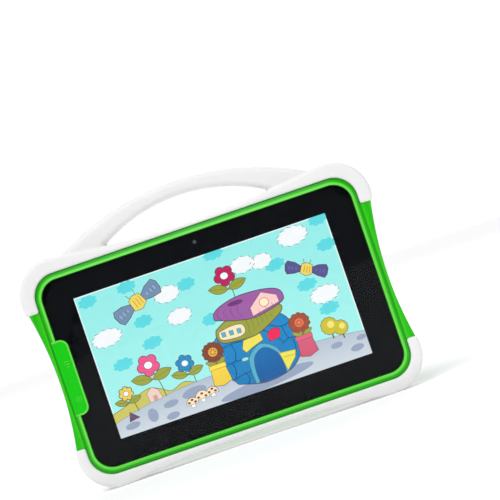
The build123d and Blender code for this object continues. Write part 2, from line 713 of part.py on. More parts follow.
def rear_camera_gasket():
    """Foam ring round the barrel of the rear camera."""
    ring = rod(CAMERA_X, CAMERA_Z, 4.0, CAMERA_BODY_REAR, CAMERA_GASKET_REAR)
    return ring - rod(CAMERA_X, CAMERA_Z, CAMERA_BARREL_R + 0.05, CAMERA_BODY_REAR, CAMERA_GASKET_REAR)


def rear_camera_ring():
    """Raised trim that holds the camera window."""
    trim = rod(CAMERA_X, CAMERA_Z, CAMERA_TRIM_R, TRIM_FRONT, TRIM_REAR)
    trim = fillet(edges_at(trim, TRIM_REAR), 0.3)
    trim -= rod(CAMERA_X, CAMERA_Z, 2.6, TRIM_FRONT - 1, TRIM_REAR + 1)
    return trim - rod(CAMERA_X, CAMERA_Z, WINDOW_R + 0.05, TRIM_FRONT - 1, WINDOW_REAR + 0.05)


def flash_diffuser():
    """Clear light pipe from the flash to the rear face, oval in section."""
    pipe = block(FLASH_X, FLASH_Z, FLASH_W, FLASH_H, BOARD_REAR + 1.0, TRIM_REAR, 1.25)
    return chamfer(edges_at(pipe, TRIM_REAR), 0.15)


def front_camera_module():
    size = FRONT_CAMERA_BODY
    body = block(0, FRONT_CAMERA_Z, size, size, FRONT_CAMERA_FACE, FRONT_CAMERA_REAR, 0.4)
    barrel = rod(0, FRONT_CAMERA_Z, 2.0, MASK_REAR, FRONT_CAMERA_FACE)
    return body + barrel - rod(0, FRONT_CAMERA_Z, 0.9, MASK_REAR - 1, FRONT_CAMERA_FACE + 0.3)


def board_outline():
    """Main board with an ear at its top for the rear camera and the flash."""
    centre = Pos((BOARD_X0 + BOARD_X1) / 2, (BOARD_Z0 + BOARD_Z1) / 2)
    main = centre * RectangleRounded(BOARD_X1 - BOARD_X0, BOARD_Z1 - BOARD_Z0, 2.0)
    return main + Pos(BOARD_EAR_X, BOARD_EAR_Z) * RectangleRounded(21.0, 14.0, 1.5)


def processor_shield():
    """Thin metal can over the processor."""
    shield = block(PROCESSOR_X, PROCESSOR_Z, 24.0, 24.0, BOARD_REAR, BOARD_REAR + 2.6, 0.6)
    return shield - block(PROCESSOR_X, PROCESSOR_Z, 23.4, 23.4, BOARD_REAR - 1, BOARD_REAR + 2.3, 0.4)


def battery_cell():
    """Flat pouch cell with soft edges."""
    cell = block(BATTERY_X, BATTERY_Z, BATTERY_W, BATTERY_H, MID_FRAME_REAR, BATTERY_REAR, 2.0)
    return fillet(edges_at(cell, BATTERY_REAR), 0.8)


def wire_pair(points, depth, radius):
    """Two insulated wires side by side."""
    lower = wire_along(points, depth, radius)
    return Compound(children=[lower, Pos(0, 0, 2 * radius + 0.1) * lower])


def screen_flex(x, run_z, end_x, start):
    """Flat cable from the screen's lower edge, through the plate and along it to the board."""
    near = MID_FRAME_REAR
    far = MID_FRAME_REAR + FLEX_THICK
    cable = block(x, FLEX_Z, FLEX_W, FLEX_THICK, start, far)
    cable += block(x, (run_z + FLEX_Z) / 2, FLEX_W, FLEX_Z - run_z + FLEX_THICK, near, far)
    cable += block((x + end_x) / 2, run_z, abs(x - end_x) + FLEX_TAIL_W, FLEX_TAIL_W, near, far)
    cable += block(end_x, (run_z + FLEX_END_Z) / 2, FLEX_TAIL_W, FLEX_END_Z - run_z, near, far)
    return cable + block(end_x, FLEX_END_Z, 8.0, 3.0, far, BOARD_FRONT)


def front_camera_flex():
    """Flat cable from the front camera, through the plate and along it to the board."""
    near = MID_FRAME_REAR
    far = MID_FRAME_REAR + FLEX_THICK
    run_z = FRONT_CAMERA_Z - FLEX_TAIL_W / 2
    plug_z = 38.5
    cable = block(0, FRONT_CAMERA_Z, 5.0, FLEX_THICK, FRONT_CAMERA_REAR, far)
    cable += block(-28.0, run_z, 61.0, FLEX_TAIL_W, near, far)
    cable += block(CAMERA_TAIL_X, (run_z + plug_z) / 2, FLEX_TAIL_W, run_z - plug_z, near, far)
    return cable + block(CAMERA_TAIL_X, plug_z, 7.0, FLEX_TAIL_W, far, BOARD_FRONT)


def rear_camera_flex():
    """Short flat cable from the rear camera to its board connector."""
    cable = block(CAMERA_X, 41.0, 5.0, 5.6, BOARD_REAR, BOARD_REAR + 0.15)
    return cable + block(CAMERA_X, 38.6, 7.0, FLEX_TAIL_W, BOARD_REAR, BOARD_REAR + 0.9)


def build():
    """Every separate piece of the tablet, by name."""
    touch, gasket, panel, backlight = screen_layers()
    wall_inside = -SHELL_W / 2 + WALL
    shield_top = BOARD_REAR + 2.3
    return {
        "front_frame": front_frame(),
        "cover_lens": cover_lens(),
        "lens_border_mask": lens_border_mask(),
        "touch_sensor": touch,
        "touch_flex": screen_flex(20.0, -52.0, -70.0, TOUCH_REAR - 0.2),
        "lcd_gasket": gasket,
        "display_panel": panel,
        "lcd_flex": screen_flex(-14.0, -48.6, -58.0, PANEL_REAR - 0.6),
        "backlight_unit": backlight,
        "mid_frame": mid_frame(),
        "front_camera_module": front_camera_module(),
        "front_camera_flex": front_camera_flex(),
        "top_bumper": top_bumper(),
        "bottom_bumper": bottom_bumper(),
        "rear_cover": rear_cover(),
        "cover_screws": cover_screws(),
        "battery_cell": battery_cell(),
        "battery_wires": wire_pair([(-35, -20), (-39, -20), (-43, -24)], BATTERY_WIRE_DEPTH, 0.5),
        "battery_connector": block(CONNECTOR_X, CONNECTOR_Z, 5.2, 5.0, BOARD_REAR, BOARD_REAR + 2.6, 0.3),
        "main_board": main_board(),
        "board_screws": board_screws(),
        "processor": block(PROCESSOR_X, PROCESSOR_Z, 14.0, 14.0, BOARD_REAR, BOARD_REAR + 1.0, 0.3),
        "thermal_pad": block(PROCESSOR_X, PROCESSOR_Z, 13.0, 13.0, BOARD_REAR + 1.0, shield_top),
        "processor_shield": processor_shield(),
        "memory_chips": chips(MEMORY_PLACES, 10.0, 12.0, 1.0),
        "wifi_module": chips(RADIO_PLACES, 12.0, 12.0, 2.0),
        "antenna": block(ANTENNA_X, ANTENNA_Z, 34.0, 8.0, MID_FRAME_REAR, MID_FRAME_REAR + FLEX_THICK, 1.0),
        "antenna_lead": wire_along([(-45.9, 27), (-38, 29), (-32, 44), (22, 44), (28, 50)], LEAD_DEPTH, 0.55),
        "speaker": speaker(),
        "speaker_gasket": speaker_gasket(),
        "speaker_wires": wire_pair([(63, 30), (54, 21), (-30, 21), (-41.5, 12)], LEAD_DEPTH, 0.5),
        "microphone": side_rod(SIDE_Y, MICROPHONE_Z, 2.0, wall_inside, wall_inside + 1.5),
        "rear_camera_module": rear_camera_module(),
        "rear_camera_flex": rear_camera_flex(),
        "rear_camera_gasket": rear_camera_gasket(),
        "rear_camera_ring": rear_camera_ring(),
        "rear_camera_window": rod(CAMERA_X, CAMERA_Z, WINDOW_R, WINDOW_FRONT, WINDOW_REAR),
        "flash_led": block(FLASH_X, FLASH_Z, 2.4, 2.4, BOARD_REAR, BOARD_REAR + 0.8),
        "flash_diffuser": flash_diffuser(),
        "ring_stand": ring_stand(),
        "ring_hinge_pin": ring_hinge_pin(),
        "ring_hinge_washers": ring_hinge_washers(),
        "power_button": power_button(),
        "power_switch": tact_switch(POWER_Z),
        "volume_rocker": volume_rocker(),
        "volume_rocker_pin": rod(ROCKER_PIN_X, VOLUME_Z, ROCKER_PIN_R, 1.1, 7.2),
        "volume_switches": Compound(children=[tact_switch(VOLUME_Z - 4), tact_switch(VOLUME_Z + 4)]),
        "usb_socket": usb_socket(),
        "headphone_socket": headphone_socket(),
        "card_slot": card_slot(),
    }


os.makedirs("parts", exist_ok=True)
for name, shape in build().items():
    export_step(shape, f"parts/{name}.step")
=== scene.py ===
import math
import random

import bmesh
import bpy
from mathutils import Matrix, Vector


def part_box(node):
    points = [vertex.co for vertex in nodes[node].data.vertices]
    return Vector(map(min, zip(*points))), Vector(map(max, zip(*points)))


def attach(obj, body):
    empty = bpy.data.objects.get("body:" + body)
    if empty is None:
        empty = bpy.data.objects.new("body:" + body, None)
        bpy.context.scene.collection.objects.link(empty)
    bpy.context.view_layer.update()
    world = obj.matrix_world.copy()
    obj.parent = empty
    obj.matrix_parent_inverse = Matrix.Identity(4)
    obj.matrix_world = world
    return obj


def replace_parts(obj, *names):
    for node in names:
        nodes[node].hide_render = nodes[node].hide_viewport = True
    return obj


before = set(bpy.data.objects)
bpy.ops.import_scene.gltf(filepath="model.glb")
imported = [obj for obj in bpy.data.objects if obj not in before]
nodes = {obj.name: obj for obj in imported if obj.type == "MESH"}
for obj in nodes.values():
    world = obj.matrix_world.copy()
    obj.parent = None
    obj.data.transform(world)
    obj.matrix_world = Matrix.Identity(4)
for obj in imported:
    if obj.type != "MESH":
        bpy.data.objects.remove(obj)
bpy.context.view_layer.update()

# Children's tablet. Lengths in metres, the part's own frame: X to the right of the screen, Y to the
# rear, Z up. Outlines on the front are given in millimetres from the centre of the screen.

MM = 0.001
scene = bpy.context.scene

panel_low, panel_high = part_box("display_panel")
SCREEN_MID = Vector((0, 0, (panel_low.z + panel_high.z) / 2))
MASK_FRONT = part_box("lens_border_mask")[0].y

# Half the lit area, and the height of the front camera, in millimetres from the centre of the screen
HALF_W = 77.1
HALF_H = 42.95
FRONT_CAMERA_Z = 51.5

# Tab at the left of the glass, in millimetres, and the rounding of the tab and of the glass
TAB_FACE = -9.4
TAB_ROOT = -97.5
TAB_EDGE = -88.4
TAB_TOP = 23.0
TAB_BOTTOM = -22.6
TAB_CORNER = 5.0 * MM
GLASS_CORNER = 11.0 * MM

# Greens of the front shell, with painted highlights on the bead and the crests and painted shade in the
# grooves, and the reach of these colour bands in millimetres
FRONT_GREEN = (0.018, 0.52, 0.003, 1)
TAB_GREEN = (0.004, 0.56, 0.002, 1)
# Painted highlight colours of the bead round the glass and of the grips' crests
BEAD_HIGHLIGHT_GREEN = (0.155, 0.70, 0.075, 1)
CREST_HIGHLIGHT_GREEN = (0.04, 0.58, 0.008, 1)
BAND_SPAN = 12.0
FRONT_GRAIN = 0.5 * MM


def paint(red, green, blue):
    """Linear colour with full alpha, from screen values of 0 to 255."""
    values = []
    for value in (red, green, blue):
        share = value / 255
        values.append(share / 12.92 if share <= 0.04045 else ((share + 0.055) / 1.055) ** 2.4)
    return (*values, 1.0)


def scaled(colour, factor):
    """The same colour, lighter or darker."""
    return (*(min(1.0, value * factor) for value in colour[:3]), 1.0)


# ---------------------------------------------------------------- camera, world, floor, lights

# Width that the camera sees at the screen, its roll, and where the screen lies in the picture
VIEW_WIDTH = 290.4 * MM
ROLL = math.radians(18.86)
SCREEN_RIGHT_OF_MIDDLE = -15.74 * MM
SCREEN_BELOW_MIDDLE = 44.08 * MM
LENS = 135.0
SENSOR = 36.0
NEAR_CLIP = 0.05
FAR_CLIP = 50.0

# World from in front of the tablet to behind it, by share of the way
DARK_CARD = (0.02, 0.022, 0.028, 1)
STUDIO = (0.40, 0.40, 0.41, 1)
BACKDROP = (1.03, 1.03, 1.03, 1)
WORLD_STOPS = ((0.015, DARK_CARD), (0.05, STUDIO), (0.80, STUDIO), (0.93, BACKDROP))

FLOOR_RADIUS = 3.0
FLOOR_SEGMENTS = 96
FLOOR_GLOW = 0.22
FLOOR_DARK = (0.78, 0.78, 0.78, 1)
FLOOR_PALE = (0.81, 0.81, 0.81, 1)
SUN_FROM = (-0.42, -0.62, 1.0)
SUN_SPREAD = math.radians(40)
SUN_STRENGTH = 1.9

# Soft boxes: name, place, the point that they look at, diameter and power in watts
SOFT_LIGHTS = (
    ("fill", (1.2, -0.8, 0.6), (0, 0, 0.08), 0.9, 2.0),
    ("sheen", (0, -1.34, 1.0), (0, 0, 0.09), 0.3, 2.0),
    ("rear", (0.35, 1.15, 1.15), (0, 0, 0.08), 1.4, 7.5),
)


def make_camera():
    """Long lens square to the screen, rolled so that the tablet leans to the left."""
    data = bpy.data.cameras.new("camera")
    data.lens = LENS
    data.sensor_width = SENSOR
    data.clip_start = NEAR_CLIP
    data.clip_end = FAR_CLIP
    camera = bpy.data.objects.new("camera", data)
    scene.collection.objects.link(camera)
    distance = VIEW_WIDTH * LENS / SENSOR
    right = Vector((math.cos(ROLL), 0, -math.sin(ROLL)))
    up = Vector((math.sin(ROLL), 0, math.cos(ROLL)))
    back = Vector((0, -1, 0))
    screen = SCREEN_MID + Vector((0, MASK_FRONT, 0))
    target = screen - right * SCREEN_RIGHT_OF_MIDDLE + up * SCREEN_BELOW_MIDDLE
    turn = Matrix((right, up, back)).transposed().to_4x4()
    camera.matrix_world = Matrix.Translation(target + back * distance) @ turn
    scene.camera = camera


def soft_light(name, place, aim, size, watts):
    """Round soft box that looks at a point."""
    data = bpy.data.lights.new(name, "AREA")
    data.shape = "DISK"
    data.size = size
    data.energy = watts
    light = bpy.data.objects.new(name, data)
    scene.collection.objects.link(light)
    light.location = place
    light.rotation_mode = "QUATERNION"
    light.rotation_quaternion = (Vector(aim) - Vector(place)).to_track_quat("-Z", "Y")


def soft_sun():
    """Large ceiling light far away, so that the table is lit evenly to its edge."""
    data = bpy.data.lights.new("sun", "SUN")
    data.energy = SUN_STRENGTH
    data.angle = SUN_SPREAD
    sun = bpy.data.objects.new("sun", data)
    scene.collection.objects.link(sun)
    sun.rotation_mode = "QUATERNION"
    sun.rotation_quaternion = Vector(SUN_FROM).to_track_quat("Z", "Y")


def fill_ramp(ramp, stops):
    """Sets a ramp's stops from (position, colour) pairs."""
    elements = ramp.elements
    elements[0].position, elements[0].color = stops[0]
    elements[1].position, elements[1].color = stops[-1]
    for position, colour in stops[1:-1]:
        elements.new(position).color = colour


def make_world():
    """Soft grey studio with a white backdrop behind the tablet and a dark card in front of it."""
    world = bpy.data.worlds.new("studio")
    scene.world = world
    world.use_nodes = True
    tree = world.node_tree
    background = tree.nodes["Background"]
    coords = tree.nodes.new("ShaderNodeTexCoord")
    split = tree.nodes.new("ShaderNodeSeparateXYZ")
    spread = tree.nodes.new("ShaderNodeMapRange")
    spread.inputs["From Min"].default_value = -1
    ramp = tree.nodes.new("ShaderNodeValToRGB")
    tree.links.new(coords.outputs["Generated"], split.inputs[0])
    tree.links.new(split.outputs["Y"], spread.inputs["Value"])
    tree.links.new(spread.outputs[0], ramp.inputs[0])
    fill_ramp(ramp.color_ramp, WORLD_STOPS)
    tree.links.new(ramp.outputs[0], background.inputs["Color"])


def make_floor():
    """Round pale table of translucent plastic, lit a little from below."""
    floor_mesh = bmesh.new()
    bmesh.ops.create_circle(floor_mesh, cap_ends=True, segments=FLOOR_SEGMENTS, radius=FLOOR_RADIUS)
    mesh = bpy.data.meshes.new("floor")
    floor_mesh.to_mesh(mesh)
    floor_mesh.free()
    floor = bpy.data.objects.new("floor", mesh)
    scene.collection.objects.link(floor)
    look = Look("floor_pale")
    shade = look.noise(3.0, 3)
    look.shader.inputs["Roughness"].default_value = 0.85
    look.shader.inputs["Specular IOR Level"].default_value = 0.1
    look.shader.inputs["Emission Color"].default_value = (1, 1, 1, 1)
    look.shader.inputs["Emission Strength"].default_value = FLOOR_GLOW
    look.colour(look.mix(shade, FLOOR_DARK, FLOOR_PALE))
    mesh.materials.append(look.material)


# ---------------------------------------------------------------- material building blocks


class Look:
    """One material and the few node patterns that the finishes below are made of."""

    def __init__(self, name):
        self.material = bpy.data.materials.new(name)
        self.material.use_nodes = True
        self.tree = self.material.node_tree
        self.shader = self.tree.nodes["Principled BSDF"]
        self.place = self.tree.nodes.new("ShaderNodeTexCoord").outputs["Object"]

    def node(self, kind):
        """A new shader node of a kind."""
        return self.tree.nodes.new("ShaderNode" + kind)

    def link(self, source, target):
        """Joins an output to an input."""
        self.tree.links.new(source, target)

    def feed(self, value, target):
        """Puts a number or colour in a socket, or links an output to it."""
        if isinstance(value, bpy.types.NodeSocket):
            self.link(value, target)
        else:
            target.default_value = value

    def stretched(self, scale):
        """Object coordinates scaled apart along X, Y and Z."""
        mapping = self.node("Mapping")
        mapping.inputs["Scale"].default_value = scale
        self.link(self.place, mapping.inputs["Vector"])
        return mapping.outputs[0]

    def noise(self, scale, detail=4, rough=0.5, place=None):
        """Soft noise with so many cells a metre."""
        texture = self.node("TexNoise")
        texture.inputs["Scale"].default_value = scale
        texture.inputs["Detail"].default_value = detail
        texture.inputs["Roughness"].default_value = rough
        self.link(place or self.place, texture.inputs["Vector"])
        return texture.outputs["Fac"]

    def cells(self, scale):
        """Distance from the middle of the nearest of scattered cells."""
        texture = self.node("TexVoronoi")
        texture.inputs["Scale"].default_value = scale
        self.link(self.place, texture.inputs["Vector"])
        return texture.outputs["Distance"]

    def bands(self, scale, direction, distortion=0.0):
        """Soft stripes across one direction."""
        texture = self.node("TexWave")
        texture.bands_direction = direction
        texture.inputs["Scale"].default_value = scale
        texture.inputs["Distortion"].default_value = distortion
        self.link(self.place, texture.inputs["Vector"])
        return texture.outputs["Fac"]

    def math(self, operation, first, second=0.0):
        """Result of one sum on numbers or outputs."""
        node = self.node("Math")
        node.operation = operation
        self.feed(first, node.inputs[0])
        self.feed(second, node.inputs[1])
        return node.outputs[0]

    def remap(self, value, low, high, from_low=0.0, from_high=1.0):
        """Moves a range of values to another, and keeps what is outside at its ends."""
        node = self.node("MapRange")
        self.link(value, node.inputs["Value"])
        node.inputs["From Min"].default_value = from_low
        node.inputs["From Max"].default_value = from_high
        node.inputs["To Min"].default_value = low
        node.inputs["To Max"].default_value = high
        return node.outputs[0]

    def mix(self, factor, first, second):
        """Colour between two others."""
        node = self.node("Mix")
        node.data_type = "RGBA"
        self.feed(factor, node.inputs["Factor"])
        self.feed(first, node.inputs[6])
        self.feed(second, node.inputs[7])
        return node.outputs[2]

    def ramp(self, value, stops):
        """Colour ramp from (position, colour) stops."""
        node = self.node("ValToRGB")
        self.link(value, node.inputs[0])
        fill_ramp(node.color_ramp, stops)
        return node.outputs[0]

    def axis(self, name):
        """One object coordinate, in metres."""
        split = self.node("SeparateXYZ")
        self.link(self.place, split.inputs[0])
        return split.outputs[name]

    def times(self, colour, factor):
        """A colour lightened or darkened by a factor."""
        node = self.node("VectorMath")
        node.operation = "SCALE"
        self.link(colour, node.inputs[0])
        self.link(factor, node.inputs["Scale"])
        return node.outputs[0]

    def reach(self, middle, half, corner):
        """Distance in metres from the edge of an upright rounded rectangle; negative inside it."""
        spans = []
        for name, centre, size in zip("XZ", middle, half):
            away = self.math("ABSOLUTE", self.math("SUBTRACT", self.axis(name), centre))
            spans.append(self.math("SUBTRACT", away, size - corner))
        outside = [self.math("POWER", self.math("MAXIMUM", span, 0.0), 2.0) for span in spans]
        round_part = self.math("SQRT", self.math("ADD", *outside))
        flat_part = self.math("MINIMUM", self.math("MAXIMUM", *spans), 0.0)
        return self.math("SUBTRACT", self.math("ADD", round_part, flat_part), corner)

    def colour(self, source):
        """Gives the surface its colour."""
        self.link(source, self.shader.inputs["Base Color"])

    def roughness(self, source):
        """Gives the surface its gloss."""
        self.link(source, self.shader.inputs["Roughness"])

    def relief(self, height, depth):
        """Bump of a given depth in metres."""
        bump = self.node("Bump")
        bump.inputs["Strength"].default_value = 1.0
        bump.inputs["Distance"].default_value = depth
        self.link(height, bump.inputs["Height"])
        self.link(bump.outputs[0], self.shader.inputs["Normal"])


# Cells a metre in the slow drift of colour and in the uneven gloss of moulded plastic
DRIFT_SCALE = 14.0
GLOSS_SCALE = 90.0


def moulded(name, colour, gloss=0.3, grain=0.35, depth=0.006, drift=0.05, specular=0.5):
    """Moulded plastic: slow drift of colour, fine tool texture and slightly uneven gloss."""
    look = Look(name)
    slow = look.noise(DRIFT_SCALE, 3)
    fine = look.noise(1 / (grain * MM), 3, 0.6)
    shade = look.math("ADD", look.remap(slow, 0.0, 0.75), look.remap(fine, 0.0, 0.25))
    look.colour(look.mix(shade, scaled(colour, 1 - drift), scaled(colour, 1 + drift)))
    look.roughness(look.remap(look.noise(GLOSS_SCALE), gloss - 0.05, gloss + 0.07))
    look.relief(fine, depth * MM)
    look.shader.inputs["Specular IOR Level"].default_value = specular
    return look


def shares(bands):
    """Bands given in millimetres as stops of a ramp."""
    return [(place / BAND_SPAN, colour) for place, colour in bands]


# Colours with painted highlights and painted shade, by distance in millimetres outwards from the glass, and
# inwards from the tab's edge
GLASS_LIGHT_AND_SHADE_BANDS = shares((
    (0.25, scaled(FRONT_GREEN, 0.5)),
    (0.5, BEAD_HIGHLIGHT_GREEN),
    (1.5, BEAD_HIGHLIGHT_GREEN),
    (2.1, FRONT_GREEN),
    (2.6, scaled(FRONT_GREEN, 0.82)),
    (3.2, scaled(FRONT_GREEN, 0.64)),
    (3.8, scaled(FRONT_GREEN, 0.60)),
    (4.5, CREST_HIGHLIGHT_GREEN),
    (5.8, FRONT_GREEN),
    (7.6, scaled(FRONT_GREEN, 0.86)),
    (9.6, CREST_HIGHLIGHT_GREEN),
))
TAB_LIGHT_AND_SHADE_BANDS = shares((
    (0.0, scaled(FRONT_GREEN, 0.55)),
    (0.25, BEAD_HIGHLIGHT_GREEN),
    (0.8, BEAD_HIGHLIGHT_GREEN),
    (1.3, TAB_GREEN),
))


def shell_front():
    """Front shell: painted highlight on the bead round the glass and the tab, painted shade in the grooves
    beside it and at the glass edge, and a painted highlight on the grips' crests.
    """
    look = Look("front_green")
    glass_low, glass_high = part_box("cover_lens")
    glass_half = ((glass_high.x - glass_low.x) / 2, (glass_high.z - glass_low.z) / 2)
    from_glass = look.reach((0, SCREEN_MID.z), glass_half, GLASS_CORNER)
    tab_middle = (TAB_ROOT * MM, SCREEN_MID.z + (TAB_TOP + TAB_BOTTOM) / 2 * MM)
    tab_half = ((TAB_EDGE - TAB_ROOT) * MM, (TAB_TOP - TAB_BOTTOM) / 2 * MM)
    from_tab = look.reach(tab_middle, tab_half, TAB_CORNER)
    slow = look.noise(DRIFT_SCALE, 3)
    fine = look.noise(1 / FRONT_GRAIN, 3, 0.6)
    span = BAND_SPAN * MM
    # Painted highlight on the bead and crests, painted shade in the grooves and at the edge of the glass and
    # the tab
    bands = look.ramp(look.math("MULTIPLY", from_glass, 1 / span), GLASS_LIGHT_AND_SHADE_BANDS)
    tab = look.ramp(look.math("MULTIPLY", from_tab, -1 / span), TAB_LIGHT_AND_SHADE_BANDS)
    right_of_root = look.math("GREATER_THAN", look.axis("X"), TAB_ROOT * MM)
    on_tab = look.math("MULTIPLY", look.math("LESS_THAN", from_tab, 0.0), right_of_root)
    drift = look.math("ADD", look.remap(slow, 0.90, 1.06), look.remap(fine, -0.02, 0.02))
    look.colour(look.times(look.mix(on_tab, bands, tab), drift))
    look.roughness(look.remap(look.noise(GLOSS_SCALE), 0.2, 0.32))
    look.relief(fine, 0.003 * MM)
    look.shader.inputs["Specular IOR Level"].default_value = 0.22
    return look


def metal(name, colour, gloss=0.3, grain=0.2, brush=(1, 1, 1), creased=False):
    """Metal with fine scratches along one direction and small stains, or foil with soft creases."""
    look = Look(name)
    scratch = look.noise(1 / (grain * MM), 3, 0.7, look.stretched(brush))
    stain = look.noise(160.0, 5)
    look.shader.inputs["Metallic"].default_value = 1.0
    stained = look.remap(stain, 0.0, 1.0, 0.3, 0.7)
    look.colour(look.mix(stained, scaled(colour, 0.85), scaled(colour, 1.08)))
    look.roughness(look.remap(scratch, gloss - 0.08, gloss + 0.12))
    if creased:
        look.relief(look.noise(60.0, 6, 0.65), 0.25 * MM)
    else:
        look.relief(scratch, 0.003 * MM)
    return look


# Depths in metres past a socket's mouth where painted shade starts to darken the metal and where it is full
SOCKET_RIM = 0.3 * MM
SOCKET_SHADE_FULL = 0.9 * MM


def socket_metal(name):
    """Tinned sheet at the mouth of a socket, with painted shade that darkens it further in."""
    look = Look(name + "_metal")
    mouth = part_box(name)[0].x
    inward_shade = look.remap(look.axis("X"), 0.0, 1.0, mouth + SOCKET_RIM, mouth + SOCKET_SHADE_FULL)
    scratch = look.noise(1 / (0.15 * MM), 3, 0.7, look.stretched((1, 1, 0.2)))
    rim = look.mix(scratch, (0.56, 0.56, 0.54, 1), (0.72, 0.72, 0.69, 1))
    # Painted shade: the metal turns near black further into the socket
    look.colour(look.mix(inward_shade, rim, (0.02, 0.02, 0.022, 1)))
    look.roughness(look.remap(scratch, 0.22, 0.4))
    look.relief(scratch, 0.003 * MM)
    look.shader.inputs["Metallic"].default_value = 1.0
    return look


def clear(name, tint, gloss=0.02, ior=1.5, solid=1.0):
    """Clear glass or plastic with a faint haze; a thin pane is only partly solid."""
    look = Look(name)
    haze = look.noise(220.0, 4)
    look.colour(look.mix(haze, scaled(tint, 0.985), tint))
    look.roughness(look.remap(haze, gloss * 0.6, gloss * 1.6))
    look.shader.inputs["Transmission Weight"].default_value = 1.0
    look.shader.inputs["IOR"].default_value = ior
    look.shader.inputs["Alpha"].default_value = solid
    return look


def foam(name, colour):
    """Closed-cell foam with visible pores."""
    look = Look(name)
    pores = look.cells(3200.0)
    walls = look.remap(pores, 0.0, 1.0, 0.1, 0.5)
    look.colour(look.mix(walls, scaled(colour, 0.5), scaled(colour, 1.5)))
    look.shader.inputs["Roughness"].default_value = 0.9
    look.relief(pores, 0.05 * MM)
    return look


def flex_film():
    """Amber polyimide film with copper tracks that show through."""
    look = Look("flex_film")
    tracks = look.bands(380.0, "X", 0.4)
    line = look.remap(tracks, 0.0, 1.0, 0.45, 0.55)
    look.colour(look.mix(line, paint(196, 118, 30), paint(150, 72, 22)))
    look.roughness(look.remap(look.noise(400.0), 0.22, 0.36))
    look.relief(line, 0.01 * MM)
    return look


def board_mask():
    """Green solder mask over copper tracks, with small plated dots."""
    look = Look("board_mask")
    across = look.remap(look.bands(300.0, "X", 2.5), 0.0, 1.0, 0.72, 0.8)
    along = look.remap(look.bands(240.0, "Z", 3.0), 0.0, 1.0, 0.74, 0.82)
    tracks = look.math("MAXIMUM", across, along)
    dots = look.remap(look.cells(420.0), 1.0, 0.0, 0.12, 0.16)
    masked = look.mix(tracks, paint(10, 74, 44), paint(26, 112, 66))
    look.colour(look.mix(dots, masked, paint(206, 172, 98)))
    look.roughness(look.remap(tracks, 0.42, 0.28))
    look.relief(tracks, 0.03 * MM)
    return look


PIXEL_ROW = 0.45 * MM
PICTURE_GLOW = 1.045


def lit_picture():
    """Lit picture: the tint of each shape, with the fine rows of a liquid-crystal panel."""
    look = Look("lit_picture")
    tint = look.node("Attribute")
    tint.attribute_name = "tint"
    rows = look.bands(1 / PIXEL_ROW, "Z")
    wash = look.noise(260.0, 4, 0.6)
    strength = look.math("ADD", look.remap(rows, 0.96, 1.0), look.remap(wash, -0.05, 0.05))
    lit = look.times(tint.outputs["Color"], strength)
    look.shader.inputs["Base Color"].default_value = (0.01, 0.01, 0.01, 1)
    look.shader.inputs["Roughness"].default_value = 0.5
    look.shader.inputs["Specular IOR Level"].default_value = 0.1
    look.link(lit, look.shader.inputs["Emission Color"])
    look.shader.inputs["Emission Strength"].default_value = PICTURE_GLOW
    return look


BUMPER_WHITE = (0.80, 0.795, 0.79, 1)
# Painted shade near the rubber's foot: darkest below the lower height in metres, gone above the upper one
FOOT_SHADE_LOW = 3 * MM
FOOT_SHADE_HIGH = 14 * MM


def soft_white():
    """Soft white rubber with a fine even grain, and painted shade that darkens it near its foot."""
    look = moulded("bumper_rubber", BUMPER_WHITE, gloss=0.52, grain=0.45, depth=0.012, drift=0.02,
                   specular=0.35)
    # Painted shade: the rubber darkens towards the floor, along a wavy noise edge
    height = look.math("ADD", look.axis("Z"), look.remap(look.noise(60.0), -FOOT_SHADE_LOW, FOOT_SHADE_LOW))
    foot_shade = look.remap(height, 0.90, 1.0, FOOT_SHADE_LOW, FOOT_SHADE_HIGH)
    plain = look.shader.inputs["Base Color"].links[0].from_socket
    look.colour(look.times(plain, foot_shade))
    look.shader.inputs["Subsurface Weight"].default_value = 0.12
    look.shader.inputs["Subsurface Radius"].default_value = (1.0, 0.9, 0.9)
    look.shader.inputs["Subsurface Scale"].default_value = 1.5 * MM
    return look


# ---------------------------------------------------------------- finishes of the CAD pieces

REAR_GREEN = (0.001, 0.43, 0.0012, 1)
RING_GREEN = (0.004, 0.50, 0.008, 1)
KEY_GREEN = (0.002, 0.44, 0.002, 1)
BORDER_INK = (0.0032, 0.0040, 0.0058, 1)


def finish(look, *names):
    """Gives a finish to CAD pieces, in every slot that they have."""
    for name in names:
        for slot in nodes[name].material_slots:
            slot.material = look.material


def finish_shells_and_screen():
    """Finishes of what shows on the front and the rear, and of the layers behind the glass."""
    finish(shell_front(), "front_frame")
    finish(moulded("rear_green", REAR_GREEN, gloss=0.34, grain=0.3, specular=0.08), "rear_cover")
    finish(moulded("ring_green", RING_GREEN, gloss=0.16, grain=0.6, depth=0.002, specular=0.4), "ring_stand")
    keys = ("power_button", "volume_rocker")
    finish(moulded("key_green", KEY_GREEN, gloss=0.3, grain=0.25, specular=0.2), *keys)
    finish(clear("cover_glass", (0.985, 0.99, 0.995, 1), 0.02, 1.45, 0.18), "cover_lens")
    ink = moulded("border_ink", BORDER_INK, gloss=0.4, grain=0.1, depth=0.001, drift=0.12, specular=0.1)
    finish(ink, "lens_border_mask")
    finish(clear("clear_film", (0.97, 0.98, 0.99, 1), 0.05, 1.3, 0.2), "touch_sensor")
    gaskets = ("lcd_gasket", "speaker_gasket", "rear_camera_gasket")
    finish(foam("foam_black", paint(36, 36, 38)), *gaskets)
    finish(moulded("panel_grey", paint(58, 66, 72), gloss=0.2, grain=0.2, depth=0.001), "display_panel")
    finish(moulded("tray_white", paint(222, 222, 218), gloss=0.5, grain=0.3), "backlight_unit")
    finish(metal("plate_aluminium", (0.72, 0.72, 0.74), 0.42, 0.3), "mid_frame")


